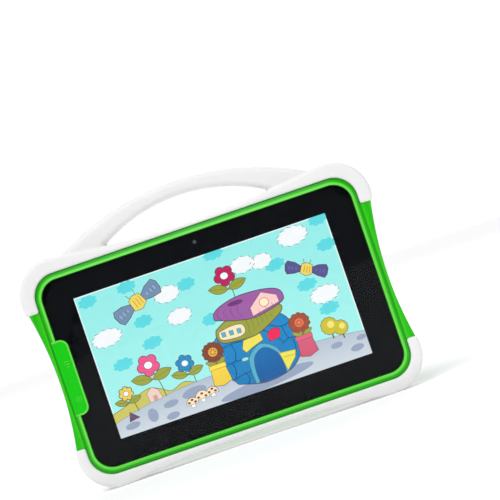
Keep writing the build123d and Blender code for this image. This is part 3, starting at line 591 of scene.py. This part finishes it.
def finish_inside():
    """Finishes of cables, fasteners, battery, board and sockets."""
    cables = ("touch_flex", "lcd_flex", "front_camera_flex", "rear_camera_flex", "antenna")
    finish(flex_film(), *cables)
    finish(metal("screw_steel", (0.34, 0.35, 0.36), 0.3, 0.1), "cover_screws", "board_screws")
    pins = ("ring_hinge_pin", "volume_rocker_pin")
    finish(metal("pin_steel", (0.42, 0.42, 0.43), 0.3, 0.1, (0.1, 1, 1)), *pins)
    finish(metal("washer_steel", (0.6, 0.58, 0.52), 0.35, 0.1), "ring_hinge_washers")
    finish(metal("cell_foil", (0.62, 0.63, 0.66), 0.34, 0.6, creased=True), "battery_cell")
    finish(moulded("wire_red", paint(176, 18, 20), gloss=0.35, grain=0.2), "battery_wires")
    finish(moulded("wire_black", paint(30, 30, 32), gloss=0.35, grain=0.2), "speaker_wires", "antenna_lead")
    finish(moulded("nylon_cream", paint(226, 220, 196), gloss=0.4, grain=0.2), "battery_connector")
    finish(board_mask(), "main_board")
    chips = ("processor", "memory_chips", "microphone", "headphone_socket")
    finish(moulded("chip_black", paint(38, 38, 40), gloss=0.55, grain=0.12, depth=0.004, drift=0.2), *chips)
    finish(foam("pad_grey", paint(150, 156, 166)), "thermal_pad")
    cans = ("processor_shield", "wifi_module", "power_switch", "volume_switches")
    finish(metal("tinned_sheet", (0.72, 0.72, 0.69), 0.28, 0.15, (1, 1, 0.2)), *cans)
    for name in ("usb_socket", "card_slot"):
        finish(socket_metal(name), name)


def finish_speaker_and_cameras():
    """Finishes of the speaker, the two cameras and the flash."""
    cone = moulded("paper_cone", paint(34, 33, 34), gloss=0.8, grain=0.25, depth=0.03, drift=0.3)
    finish(cone, "speaker")
    barrel = moulded("camera_black", paint(26, 26, 29), gloss=0.25, grain=0.15, depth=0.002)
    finish(barrel, "rear_camera_module")
    eye = moulded("eye_grey", paint(62, 64, 71), gloss=0.2, grain=0.1, depth=0.001)
    finish(eye, "front_camera_module")
    trim = moulded("trim_black", paint(14, 14, 16), gloss=0.2, grain=0.15, depth=0.001, specular=0.2)
    finish(trim, "rear_camera_ring")
    finish(clear("camera_window", (0.86, 0.84, 0.9, 1), 0.01, 1.4, 0.16), "rear_camera_window")
    finish(moulded("led_yellow", paint(236, 204, 70), gloss=0.4, grain=0.15), "flash_led")
    frosted = moulded("flash_clear", paint(226, 246, 226), gloss=0.22, grain=0.4, depth=0.01, drift=0.03)
    finish(frosted, "flash_diffuser")


# ---------------------------------------------------------------- bumpers


def add_piece(name, mesh, look):
    """New piece that rides on the tablet, with one finish."""
    mesh.materials.append(look.material)
    piece = bpy.data.objects.new(name, mesh)
    scene.collection.objects.link(piece)
    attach(piece, "tablet")
    return piece


BUMPER_VOXEL = 0.6 * MM
BUMPER_SMOOTHING = 8


def soften_bumper(node_name, piece_name, look):
    """Rubber moulding without any sharp edge, from the bumper's own shape."""
    source = nodes[node_name]
    moulding = bpy.data.objects.new("moulding", source.data.copy())
    scene.collection.objects.link(moulding)
    skin = moulding.modifiers.new("skin", "REMESH")
    skin.mode = "VOXEL"
    skin.voxel_size = BUMPER_VOXEL
    soft = moulding.modifiers.new("soft", "SMOOTH")
    soft.factor = 0.5
    soft.iterations = BUMPER_SMOOTHING
    result = moulding.evaluated_get(bpy.context.evaluated_depsgraph_get())
    mesh = bpy.data.meshes.new_from_object(result)
    bpy.data.objects.remove(moulding)
    mesh.name = piece_name
    mesh.materials.clear()
    mesh.shade_smooth()
    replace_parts(add_piece(piece_name, mesh, look), node_name)


# ---------------------------------------------------------------- picture on the screen

# Depth of the lowest level, and the step from each level to the next, in millimetres
PAGE_REAR = -7.265
PAGE_STEP = 0.0045


def clipped(points, limit_x=HALF_W, limit_z=HALF_H):
    """The part of an outline inside the screen, cut along its four sides in turn."""
    sides = ((0, 1, limit_x), (0, -1, limit_x), (1, 1, limit_z), (1, -1, limit_z))
    for axis, sign, limit in sides:
        kept = []
        for before, after in zip(points, points[1:] + points[:1]):
            start = limit - sign * before[axis]
            end = limit - sign * after[axis]
            if start >= 0:
                kept.append(before)
            if start * end < 0:
                share = start / (start - end)
                kept.append(tuple(b + share * (a - b) for b, a in zip(before, after)))
        points = kept
    return points


class Page:
    """Flat shapes behind the glass, each level a little nearer to it than the one below."""

    def __init__(self):
        self.mesh = bmesh.new()
        self.tint = self.mesh.loops.layers.float_color.new("tint")

    def shape(self, points, colour, level, low_colour=None):
        """Fills an outline with a colour, or with two that run into each other from top to bottom."""
        points = clipped(points)
        if len(points) < 3:
            return
        depth = (PAGE_REAR - level * PAGE_STEP) * MM
        corners = [self.mesh.verts.new((x * MM, depth, SCREEN_MID.z + z * MM)) for x, z in points]
        face = self.mesh.faces.new(corners)
        face.normal_update()
        if face.normal.y > 0:
            face.normal_flip()
        high = max(z for x, z in points)
        low = min(z for x, z in points)
        for corner in face.loops:
            share = (corner.vert.co.z / MM - SCREEN_MID.z / MM - low) / max(high - low, 0.01)
            ends = zip(low_colour or colour, colour)
            corner[self.tint] = tuple(a + share * (b - a) for a, b in ends)

    def outlined(self, points, colour, level, line=0.35, edge=paint(88, 70, 76), low_colour=None):
        """A shape with a thin drawn line round it."""
        self.shape(grown(points, line), edge, level)
        self.shape(points, colour, level + 1, low_colour)

    def stroke(self, points, width, colour, level):
        """A pen line of one width through some points."""
        left = []
        right = []
        for index, point in enumerate(points):
            before = Vector(points[max(index - 1, 0)])
            after = Vector(points[min(index + 1, len(points) - 1)])
            along = (after - before).normalized()
            side = Vector((-along.y, along.x)) * width / 2
            left.append(tuple(Vector(point) + side))
            right.append(tuple(Vector(point) - side))
        self.shape(left + right[::-1], colour, level)

    def finish(self, name, look):
        """Makes the piece from all the shapes."""
        mesh = bpy.data.meshes.new(name)
        bmesh.ops.triangulate(self.mesh, faces=self.mesh.faces[:])
        self.mesh.to_mesh(mesh)
        self.mesh.free()
        add_piece(name, mesh, look)


def grown(points, amount):
    """An outline moved outwards by an amount at every point."""
    area = sum(a[0] * b[1] - b[0] * a[1] for a, b in zip(points, points[1:] + points[:1]))
    turn = 1 if area > 0 else -1
    moved = []
    for index, point in enumerate(points):
        before = Vector(points[index - 1])
        after = Vector(points[(index + 1) % len(points)])
        here = Vector(point)
        first = (here - before).normalized()
        second = (after - here).normalized()
        normal = Vector((first.y + second.y, -first.x - second.x))
        if normal.length < 0.3:
            normal = Vector((first.y, -first.x))
        moved.append(tuple(here + normal.normalized() * amount * turn))
    return moved


def turned(x, z, right, up, turn):
    """The point some way right of and above another, with that way turned by some degrees."""
    spin = math.radians(turn)
    return (
        x + right * math.cos(spin) - up * math.sin(spin),
        z + right * math.sin(spin) + up * math.cos(spin),
    )


def round_outline(x, z, width, height, turn=0.0, bumps=0, swell=0.0, phase=0.0, count=72):
    """Ellipse, scalloped if it has bumps, turned by some degrees."""
    points = []
    for step in range(count):
        angle = 2 * math.pi * step / count
        wave = abs(math.sin(bumps * angle / 2 + phase)) ** 0.65 if bumps else 0.0
        reach = 1 - swell + swell * wave
        right = width / 2 * reach * math.cos(angle)
        up = height / 2 * reach * math.sin(angle)
        points.append(turned(x, z, right, up, turn))
    return points


LEAF_STEPS = 10


def leaf_outline(x, z, length, width, turn):
    """Pointed leaf that starts at a point and runs away from it."""
    points = []
    for side in (1, -1):
        for step in range(LEAF_STEPS):
            share = step / LEAF_STEPS if side > 0 else 1 - step / LEAF_STEPS
            across = side * width / 2 * math.sin(math.pi * share) ** 0.9
            points.append(turned(x, z, share * length, across, turn))
    return points


def bent(points, count=8):
    """Smooth line through points, worked out span by span."""
    padded = [points[0]] + list(points) + [points[-1]]
    line = []
    for p0, p1, p2, p3 in zip(padded, padded[1:], padded[2:], padded[3:]):
        for step in range(count):
            t = step / count
            line.append(tuple(
                0.5 * (2 * b + (c - a) * t + (2 * a - 5 * b + 4 * c - d) * t**2
                       + (3 * b - a - 3 * c + d) * t**3)
                for a, b, c, d in zip(p0, p1, p2, p3)
            ))
    line.append(points[-1])
    return line


def loop(points):
    """Smooth closed outline through points."""
    return bent(points + points[:1])[:-1]


# Colours of the picture. In its drawings, sizes are in millimetres, and levels rise towards the viewer:
# sky and clouds from 0, hills and ground from 7, butterflies from 8, hut walls, flowers and bushes from
# 12, and pots, roof and mushrooms from 16.
INK = paint(84, 66, 74)
SKY_HIGH = paint(150, 236, 232)
SKY_LOW = paint(166, 242, 236)
TEAL = paint(92, 218, 226)
CLOUD = paint(244, 248, 250)
OLIVE = paint(158, 164, 58)
LEAF_DARK = paint(104, 132, 44)
GROUND_HIGH = paint(178, 192, 208)
GROUND_LOW = paint(206, 216, 224)
PEBBLE = paint(150, 164, 190)
HILL = paint(204, 198, 96)
HUT = paint(4, 138, 206)
HUT_DARK = paint(0, 74, 132)
YELLOW = paint(238, 226, 84)
CREAM = paint(250, 230, 190)
PURPLE = paint(160, 92, 166)
PURPLE_DARK = paint(112, 52, 122)
PINK = paint(240, 84, 140)
MAGENTA = paint(190, 24, 88)
SLATE = paint(116, 144, 176)
ROSE = paint(206, 110, 140)


def draw_cloud(page, x, z, width, height, bumps):
    """Fluffy white cloud with a pen line of short dashes round it."""
    outline = round_outline(x, z, width, height, 4, bumps, 0.20, 0.5, 12 * bumps)
    edge = grown(outline, 0.28)
    page.shape(edge, paint(196, 224, 224), 3)
    page.shape(outline, CLOUD, 5)
    for start in range(0, len(edge), 12):
        page.shape(edge[start:start + 5] + outline[start:start + 5][::-1], INK, 6)


PUFF_SEED = 4


def draw_sky(page):
    """Pale sky with a light edge, teal puffs and white clouds."""
    edge = 0.7
    whole = [(-HALF_W, -HALF_H), (HALF_W, -HALF_H), (HALF_W, HALF_H), (-HALF_W, HALF_H)]
    inside = [(x - math.copysign(edge, x), z - math.copysign(edge, z)) for x, z in whole]
    page.shape(whole, paint(226, 246, 246), 0)
    page.shape(inside, SKY_HIGH, 1, SKY_LOW)
    puffs = random.Random(PUFF_SEED)
    teal_places = (
        (-70, 38.5), (-46, 39.5), (-12.5, 30), (8, 41.5), (40, 24), (72, 25.5), (72, 41), (-43, 17.5),
        (-42, 4), (-62, -2.5), (-5, 6), (54, 7), (62, -10),
    )
    for x, z in teal_places:
        outline = round_outline(x, z, puffs.uniform(11.5, 13), 7.2, 6, 8, 0.26, puffs.uniform(0, 3), 96)
        page.shape(outline, TEAL, 2)
    for x, z, width, height, bumps in (
        (-66, 15, 18.5, 10, 12), (-25, 28, 15.5, 9.5, 10), (-22, 13.5, 15, 9, 10), (55, 36.5, 18.5, 11, 12),
        (22, 30, 15, 9.5, 10), (33, 28.5, 13, 8.5, 9), (62, -1.5, 18, 10, 12),
    ):
        draw_cloud(page, x, z, width, height, bumps)


def draw_ground(page):
    """Low hills, and a pale paved ground with pebbles and the shadow of the hut."""
    ridge = bent([(-HALF_W, -34), (-60, -30), (-40, -27), (-15, -25.4), (12, -26), (40, -25.8),
                  (62, -27.2), (HALF_W, -29)])
    hills = bent([(-HALF_W, -28.5), (-68, -26), (-60, -22.5), (-52, -20.6), (-46, -23), (-40, -26),
                  (-32, -23.6), (-24, -26.4), (-18, -27)])
    page.outlined(hills + [(-18, -34), (-HALF_W, -40)], HILL, 7, 0.3)
    ground = ridge + [(HALF_W, -HALF_H), (-HALF_W, -HALF_H)]
    page.outlined(ground, GROUND_HIGH, 9, 0.25, paint(136, 142, 160), GROUND_LOW)
    for x, z, width, height in (
        (-68, -38, 9, 4), (-55, -36, 6, 8), (-43, -33, 9, 4), (-28, -31, 15, 6), (-44, -40, 8, 4),
        (14, -39, 58, 7), (59, -32, 7, 3.5), (70, -37, 8, 4), (74, -32, 6, 3),
    ):
        page.shape(round_outline(x, z, width, height, 4), PEBBLE, 11)


def draw_hut(page):
    """Round blue hut with a roof in two tiers, an arched door and yellow windows."""
    dome = [(-9, -24)] + bent([(-9.5, -18), (-8, -8), (2, -1), (16, 2), (31, -2), (38, -10), (40, -20)])
    dome += bent([(38, -29), (30, -36), (14, -38.8), (-2, -35)])
    page.outlined(dome, HUT, 12, 0.5, INK, scaled(HUT, 0.78))
    seams = (
        [(-8, -13), (2, -11.5), (10, -12.5)],
        [(-8.5, -23), (0, -22), (8, -23)],
        [(-5, -32), (3, -30.5), (9, -30)],
        [(1, -12), (2, -17), (0, -22)],
        [(19, -9), (26, -13), (30, -20)],
        [(25, -8), (32, -11), (38, -10)],
        [(29, -21), (34, -19), (39, -20)],
        [(32, -11), (33, -16), (34, -19)],
        [(-2, -22), (-1, -27), (-3, -32)],
        [(4, -30.5), (5, -34), (3, -37)],
        [(36, -20), (36, -26), (33, -31)],
    )
    for seam in seams:
        page.stroke(bent(seam), 0.55, HUT_DARK, 14)
    arch = bent([(8, -38), (7.5, -30), (9, -22), (17, -17), (25, -21.5), (28, -30), (28, -37)])
    door = bent([(10.2, -38.4), (10, -30), (11.8, -23), (18, -19.5), (24, -23.5), (26.3, -30),
                 (26.5, -37.6)])
    page.outlined(arch, paint(78, 178, 204), 15, 0.3)
    page.outlined(door, paint(0, 108, 178), 17, 0.25, INK, paint(0, 88, 156))
    page.outlined([(8, -19), (6.5, -16.5), (8.5, -12), (19, -11), (19.4, -15), (13, -17)], YELLOW, 15, 0.3)
    page.outlined([(26, -25.5), (27.8, -36.4), (34, -30.5), (35.5, -26.5)], YELLOW, 19, 0.3)
    page.stroke([(27, -28.5), (34.8, -29)], 0.3, OLIVE, 21)
    page.outlined(round_outline(6, -22.5, 4, 2), paint(150, 224, 220), 15, 0.2)
    lower = loop([(-4.5, -1.5), (-5.4, -5.5), (-3, -9.4), (6, -10.8), (17, -10.8), (28, -6.4),
                  (35.4, -1.6), (33, 2.2), (18, 3.6), (4, 2.4)])
    front = loop([(-3.4, -3), (-3.8, -6.4), (-1, -8.2), (8, -8.8), (11.4, -6.6), (10.4, -2.6), (4, -1.8)])
    page.outlined(lower, OLIVE, 20, 0.5, INK, scaled(OLIVE, 0.9))
    page.outlined(front, CREAM, 22, 0.3)
    for x, fall in ((-1.2, 5.0), (3.4, 5.3), (8.0, 5.6)):
        pane = [(x - 1.1, -fall - 1.3), (x - 1.1, -fall + 1.3),
                (x + 1.1, -fall + 1.2), (x + 1.1, -fall - 1.4)]
        page.outlined(pane, paint(86, 176, 200), 24, 0.25)
    for x in (14, 17, 20, 23, 26, 29):
        rib = bent([(x - 1, 1.5 - 0.2 * (x - 14)), (x, -4), (x - 0.5, -9.5 + 0.42 * (x - 14))])
        page.stroke(rib, 0.35, LEAF_DARK, 22)
    upper = loop([(-3.4, 4.6), (-2.4, 8.4), (4, 11.6), (14, 13.4), (27, 12.8), (36, 10.4),
                  (38.6, 6.2), (36, 2.4), (20, -1), (8, 0.8)])
    gable = [(18.4, 4.6), (18.6, -0.2), (35.4, 3), (35.2, 7.2), (27, 11.4)]
    page.outlined(upper, PURPLE, 24, 0.5, INK, scaled(PURPLE, 0.92))
    page.outlined(gable, paint(250, 206, 200), 26, 0.35)
    page.outlined(round_outline(27, 5.4, 5.0, 4.6, 12), paint(255, 238, 200), 28, 0.4, ROSE)
    for share in (0.25, 0.5, 0.75):
        x = 18.6 + 16.8 * share
        page.stroke([(x, -0.1 + 3.1 * share), (x, 1.5 + 3.1 * share)], 0.3, ROSE, 28)
    page.outlined(round_outline(11, 10.3, 9, 2.4, 0), PURPLE_DARK, 26, 0.2)
    for x in (0, 4, 8, 12):
        rib = bent([(x, 9 - 0.1 * x), (x - 1.2, 6.5), (x, 3.4 - 0.15 * x)])
        page.stroke(rib, 0.3, PURPLE_DARK, 26)


def draw_flower(page, x, z, size, colour, petals, stem_foot):
    """Flower with two leaves on a thin stem."""
    middle = ((x + stem_foot[0]) / 2 + 1, (z + stem_foot[1]) / 2)
    page.stroke(bent([(x, z), middle, stem_foot]), 0.55, LEAF_DARK, 12)
    for turn in (14, 166):
        outline = leaf_outline(x, z - size * 0.52, size * 0.9, size * 0.4, turn)
        page.outlined(outline, OLIVE, 13, 0.3)
        page.stroke([outline[0], outline[LEAF_STEPS]], 0.3, LEAF_DARK, 15)
    head = round_outline(x, z + size * 0.1, size * 0.95, size * 0.9, 10, petals, 0.34, 0, 24 * petals)
    page.outlined(head, colour, 16, 0.4)
    page.outlined(round_outline(x, z + size * 0.1, size * 0.34, size * 0.3), CLOUD, 18, 0.25)


def draw_butterfly(page, x, z, size, turn, wing):
    """Butterfly with a striped yellow body between two wide wings."""
    def at(across, along):
        return turned(x, z, size * across, size * along, turn)

    for side in (-1, 1):
        outline = [at(side * across, along) for across, along in (
            (0.24, 0.10), (0.5, 0.22), (0.80, 0.26), (0.88, 0.12),
            (0.86, -0.12), (0.78, -0.26), (0.5, -0.2), (0.24, -0.10),
        )]
        if side < 0:
            outline = outline[::-1]
        page.outlined(outline, wing, 8, 0.45)
        for reach, half in ((0.42, 0.09), (0.58, 0.12), (0.72, 0.12)):
            spot = round_outline(*at(side * reach, 0.0), size * 0.09, size * half * 1.6, turn)
            page.outlined(spot, scaled(wing, 1.45), 10, 0.2)
        page.stroke([at(side * 0.1, 0.2), at(side * 0.16, 0.42)], 0.3, INK, 8)
    body = ((-0.24, -0.16), (-0.2, 0.2), (0, 0.27), (0.22, 0.2), (0.24, -0.16), (0, -0.26))
    page.outlined([at(*point) for point in body], paint(240, 216, 96), 12, 0.35)
    for across in (-0.1, 0.02, 0.13):
        page.stroke([at(across, -0.14), at(across + 0.02, 0.14)], 0.45, paint(206, 150, 50), 14)


def draw_pot_plant(page, x, z, pot, head, petals, middle):
    """Tall pot with a round flower head."""
    page.stroke([(x, z - 8), (x, z)], 0.9, LEAF_DARK, 16)
    for turn in (24, 156):
        page.outlined(leaf_outline(x, z - 7.5, 6.5, 2.8, turn), OLIVE, 17, 0.25)
    body = [(x - 5.2, z - 19), (x - 4.2, z - 8.5), (x + 4.2, z - 8.5), (x + 5.6, z - 18.4), (x, z - 20.4)]
    page.outlined(body, pot, 19, 0.35, INK, scaled(pot, 0.9))
    rim = [(x - 4.9, z - 10), (x - 4.9, z - 7.6), (x + 4.9, z - 7.6), (x + 4.9, z - 10)]
    page.outlined(rim, scaled(pot, 1.12), 21, 0.3)
    page.outlined(round_outline(x, z, 12.5, 11.5, 0, petals, 0.2, 0.2, 12 * petals), head, 19, 0.35)
    page.outlined(round_outline(x, z, 5.4, 5.2), middle, 21, 0.25)
    for step in range(7):
        angle = step * 2 * math.pi / 7
        page.shape(round_outline(x + 1.5 * math.cos(angle), z + 1.5 * math.sin(angle), 0.8, 0.8), INK, 23)


def draw_plants(page):
    """Flowers, pots, bushes and mushrooms around the hut."""
    draw_flower(page, -48.5, -9, 14, PINK, 5, (-44, -28))
    draw_flower(page, -28, -14.5, 11, paint(20, 140, 196), 6, (-25, -26))
    draw_flower(page, -66, -20, 9, paint(236, 204, 84), 7, (-62, -31))
    draw_flower(page, 10, 26, 13, MAGENTA, 5, (12, 12.5))
    page.outlined([(-54, -28.6), (-54.5, -23), (-51, -20.4), (-47.6, -22.6), (-46.4, -28.2)],
                  paint(240, 208, 196), 20, 0.25)
    page.shape([(-51.6, -28.4), (-51.6, -25.4), (-49.2, -25.2), (-49.2, -28.3)], paint(206, 160, 150), 22)
    page.outlined([(-69, -35.5), (-67.4, -30), (-62.6, -34.5)], paint(106, 76, 108), 20, 0.25)
    draw_pot_plant(page, -10.5, -12.5, paint(250, 214, 70), paint(132, 62, 36), 13, paint(238, 178, 60))
    draw_pot_plant(page, 42.5, -12.5, paint(218, 92, 122), paint(166, 74, 42), 11, paint(240, 120, 70))
    page.outlined(round_outline(26.5, -14, 8.5, 6.4, 24, 4, 0.16, 0.8, 48), paint(238, 24, 84), 19, 0.35)
    for x, z, size in ((58.5, -20, 10), (64.5, -22.8, 8.4)):
        page.stroke([(x, z), (x + 0.3, z - size * 0.78)], 0.8, paint(110, 92, 60), 12)
        page.outlined(round_outline(x, z, size, size, 0, 12, 0.1, 0.3, 96), paint(206, 192, 48), 13, 0.3)
        page.shape(round_outline(x + 1, z + 0.6, size * 0.42, size * 0.42), paint(242, 228, 120), 15)
    for x, z, size in ((-31, -36.4, 7), (-24.5, -35, 8.4), (-18, -34, 7)):
        stalk = [(x - 1, z - 0.5), (x - 1.2, z - 3), (x + 1.2, z - 3), (x + 1, z - 0.5)]
        page.outlined(stalk, CLOUD, 20, 0.25)
        angles = [step * math.pi / 12 for step in range(13)]
        cap = [(x + size / 2 * math.cos(angle), z - 1 + size * 0.55 * math.sin(angle)) for angle in angles]
        page.outlined(cap, CREAM, 22, 0.3)
        for across, along in ((-0.28, 0.02), (0.02, 0.22), (0.26, 0.0)):
            page.shape(round_outline(x + across * size, z + along * size, 1.7, 1.3), paint(120, 68, 42), 24)


def make_picture():
    """Picture on the screen, from the sky forwards."""
    page = Page()
    draw_sky(page)
    draw_ground(page)
    draw_hut(page)
    draw_plants(page)
    draw_butterfly(page, -42.5, 29, 18, 24, SLATE)
    draw_butterfly(page, 56.5, 15.5, 14, -24, paint(84, 84, 146))
    page.finish("screen_picture", lit_picture())


# ---------------------------------------------------------------- small pieces


# Marks on the tab, in millimetres; the slope is a share of the rise
MARKS_X = -92.4
MARK_WIDTH = 0.6
MARK_CORNER = 0.18
MARK_RISE = 0.16
MARK_ROOT = 0.05
MARK_SLOPE = 0.7


def raised_marks(outlines, face, rise, name, look):
    """Low raised marks with sloped sides on a face that looks to the front."""
    marks = bmesh.new()
    slope = rise * MARK_SLOPE

    def corners(outline, depth):
        return [marks.verts.new((x * MM, depth * MM, SCREEN_MID.z + z * MM)) for x, z in outline]

    for outline in outlines:
        base = corners(outline, face + MARK_ROOT)
        shoulder = corners(outline, face - slope)
        top = corners(grown(outline, -slope), face - rise)
        for low, high in ((base, shoulder), (shoulder, top)):
            for index in range(len(outline)):
                after = (index + 1) % len(outline)
                marks.faces.new((low[index], low[after], high[after], high[index]))
        marks.faces.new(top)
        marks.faces.new(base[::-1])
    bmesh.ops.recalc_face_normals(marks, faces=marks.faces[:])
    mesh = bpy.data.meshes.new(name)
    marks.to_mesh(mesh)
    marks.free()
    add_piece(name, mesh, look)


def bar(x, z, width, height):
    """Outline of a bar with rounded corners."""
    points = []
    for sign_x, sign_z, start in ((1, 1, 0), (-1, 1, 90), (-1, -1, 180), (1, -1, 270)):
        for step in range(4):
            angle = math.radians(start + 30 * step)
            points.append((
                x + sign_x * (width / 2 - MARK_CORNER) + MARK_CORNER * math.cos(angle),
                z + sign_z * (height / 2 - MARK_CORNER) + MARK_CORNER * math.sin(angle),
            ))
    return points


def make_tab_marks():
    """Plain raised touch marks in the upper and the lower half of the tab."""
    rows = [bar(MARKS_X, 9.6 - 1.5 * step, 3.4 - 0.7 * step, MARK_WIDTH) for step in range(3)]
    columns = [bar(MARKS_X + 1.3 * step, -13.0, MARK_WIDTH, 3.6 - abs(step)) for step in (-1, 0, 1)]
    look = moulded("tab_marks_green", paint(52, 206, 12), gloss=0.22, grain=0.4, depth=0.002)
    raised_marks(rows + columns, TAB_FACE, MARK_RISE, "tab_marks", look)


LENS_RINGS = 8
LENS_SEGMENTS = 40


def lens_dome(name, centre, radius, rise, look, toward):
    """Round glass element, bulged towards the front (-1) or the rear (1)."""
    dome = bmesh.new()
    rows = []
    for ring in range(1, LENS_RINGS + 1):
        reach = radius * ring / LENS_RINGS
        height = rise * (1 - (ring / LENS_RINGS) ** 2)
        row = []
        for segment in range(LENS_SEGMENTS):
            angle = 2 * math.pi * segment / LENS_SEGMENTS
            row.append(dome.verts.new((
                centre[0] + reach * math.cos(angle),
                centre[1] + toward * height,
                centre[2] + reach * math.sin(angle),
            )))
        rows.append(row)
    tip = dome.verts.new((centre[0], centre[1] + toward * rise, centre[2]))
    back_depth = centre[1] - toward * rise * 0.4
    back = [dome.verts.new((corner.co.x, back_depth, corner.co.z)) for corner in rows[-1]]
    rows.append(back)
    for segment in range(LENS_SEGMENTS):
        after = (segment + 1) % LENS_SEGMENTS
        dome.faces.new((tip, rows[0][segment], rows[0][after]))
        for inner, outer in zip(rows, rows[1:]):
            dome.faces.new((inner[segment], outer[segment], outer[after], inner[after]))
    dome.faces.new(back)
    bmesh.ops.recalc_face_normals(dome, faces=dome.faces[:])
    mesh = bpy.data.meshes.new(name)
    dome.to_mesh(mesh)
    dome.free()
    mesh.shade_smooth()
    add_piece(name, mesh, look)


def coated_lens(name, rim, middle):
    """Dark coated lens with a coloured bloom."""
    look = Look(name)
    bloom = look.noise(500.0, 2)
    look.colour(look.mix(look.remap(bloom, 0.0, 1.0, 0.35, 0.65), rim, middle))
    look.roughness(look.remap(bloom, 0.04, 0.08))
    look.shader.inputs["Coat Weight"].default_value = 1.0
    look.shader.inputs["Coat Roughness"].default_value = 0.03
    return look


# Lens elements: how far each lies behind the face of its module, its radius and its bulge
REAR_LENS_DEPTH = 0.75 * MM
REAR_LENS_RADIUS = 1.7 * MM
REAR_LENS_RISE = 0.45 * MM
FRONT_LENS_DEPTH = 0.45 * MM
FRONT_LENS_RADIUS = 0.85 * MM
FRONT_LENS_RISE = 0.2 * MM


def make_lenses():
    """Coated elements under the rear camera's window and behind the glass above the screen."""
    module_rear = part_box("rear_camera_module")[1].y
    window_low, window_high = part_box("rear_camera_window")
    camera_x = (window_low.x + window_high.x) / 2
    camera_z = (window_low.z + window_high.z) / 2
    centre = (camera_x, module_rear - REAR_LENS_DEPTH, camera_z)
    look = coated_lens("rear_lens_coating", paint(30, 16, 26), paint(70, 36, 50))
    lens_dome("rear_camera_lens", centre, REAR_LENS_RADIUS, REAR_LENS_RISE, look, 1)
    eye_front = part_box("front_camera_module")[0].y
    centre = (0, eye_front + FRONT_LENS_DEPTH, SCREEN_MID.z + FRONT_CAMERA_Z * MM)
    look = coated_lens("front_lens_coating", paint(66, 68, 76), paint(92, 96, 106))
    lens_dome("front_camera_lens", centre, FRONT_LENS_RADIUS, FRONT_LENS_RISE, look, -1)


scene.view_settings.view_transform = "Standard"
make_camera()
make_world()
make_floor()
soft_sun()
for light_row in SOFT_LIGHTS:
    soft_light(*light_row)
finish_shells_and_screen()
finish_inside()
finish_speaker_and_cameras()
rubber = soft_white()
soften_bumper("top_bumper", "top_bumper_soft", rubber)
soften_bumper("bottom_bumper", "bottom_bumper_soft", rubber)
make_picture()
make_tab_marks()
make_lenses()
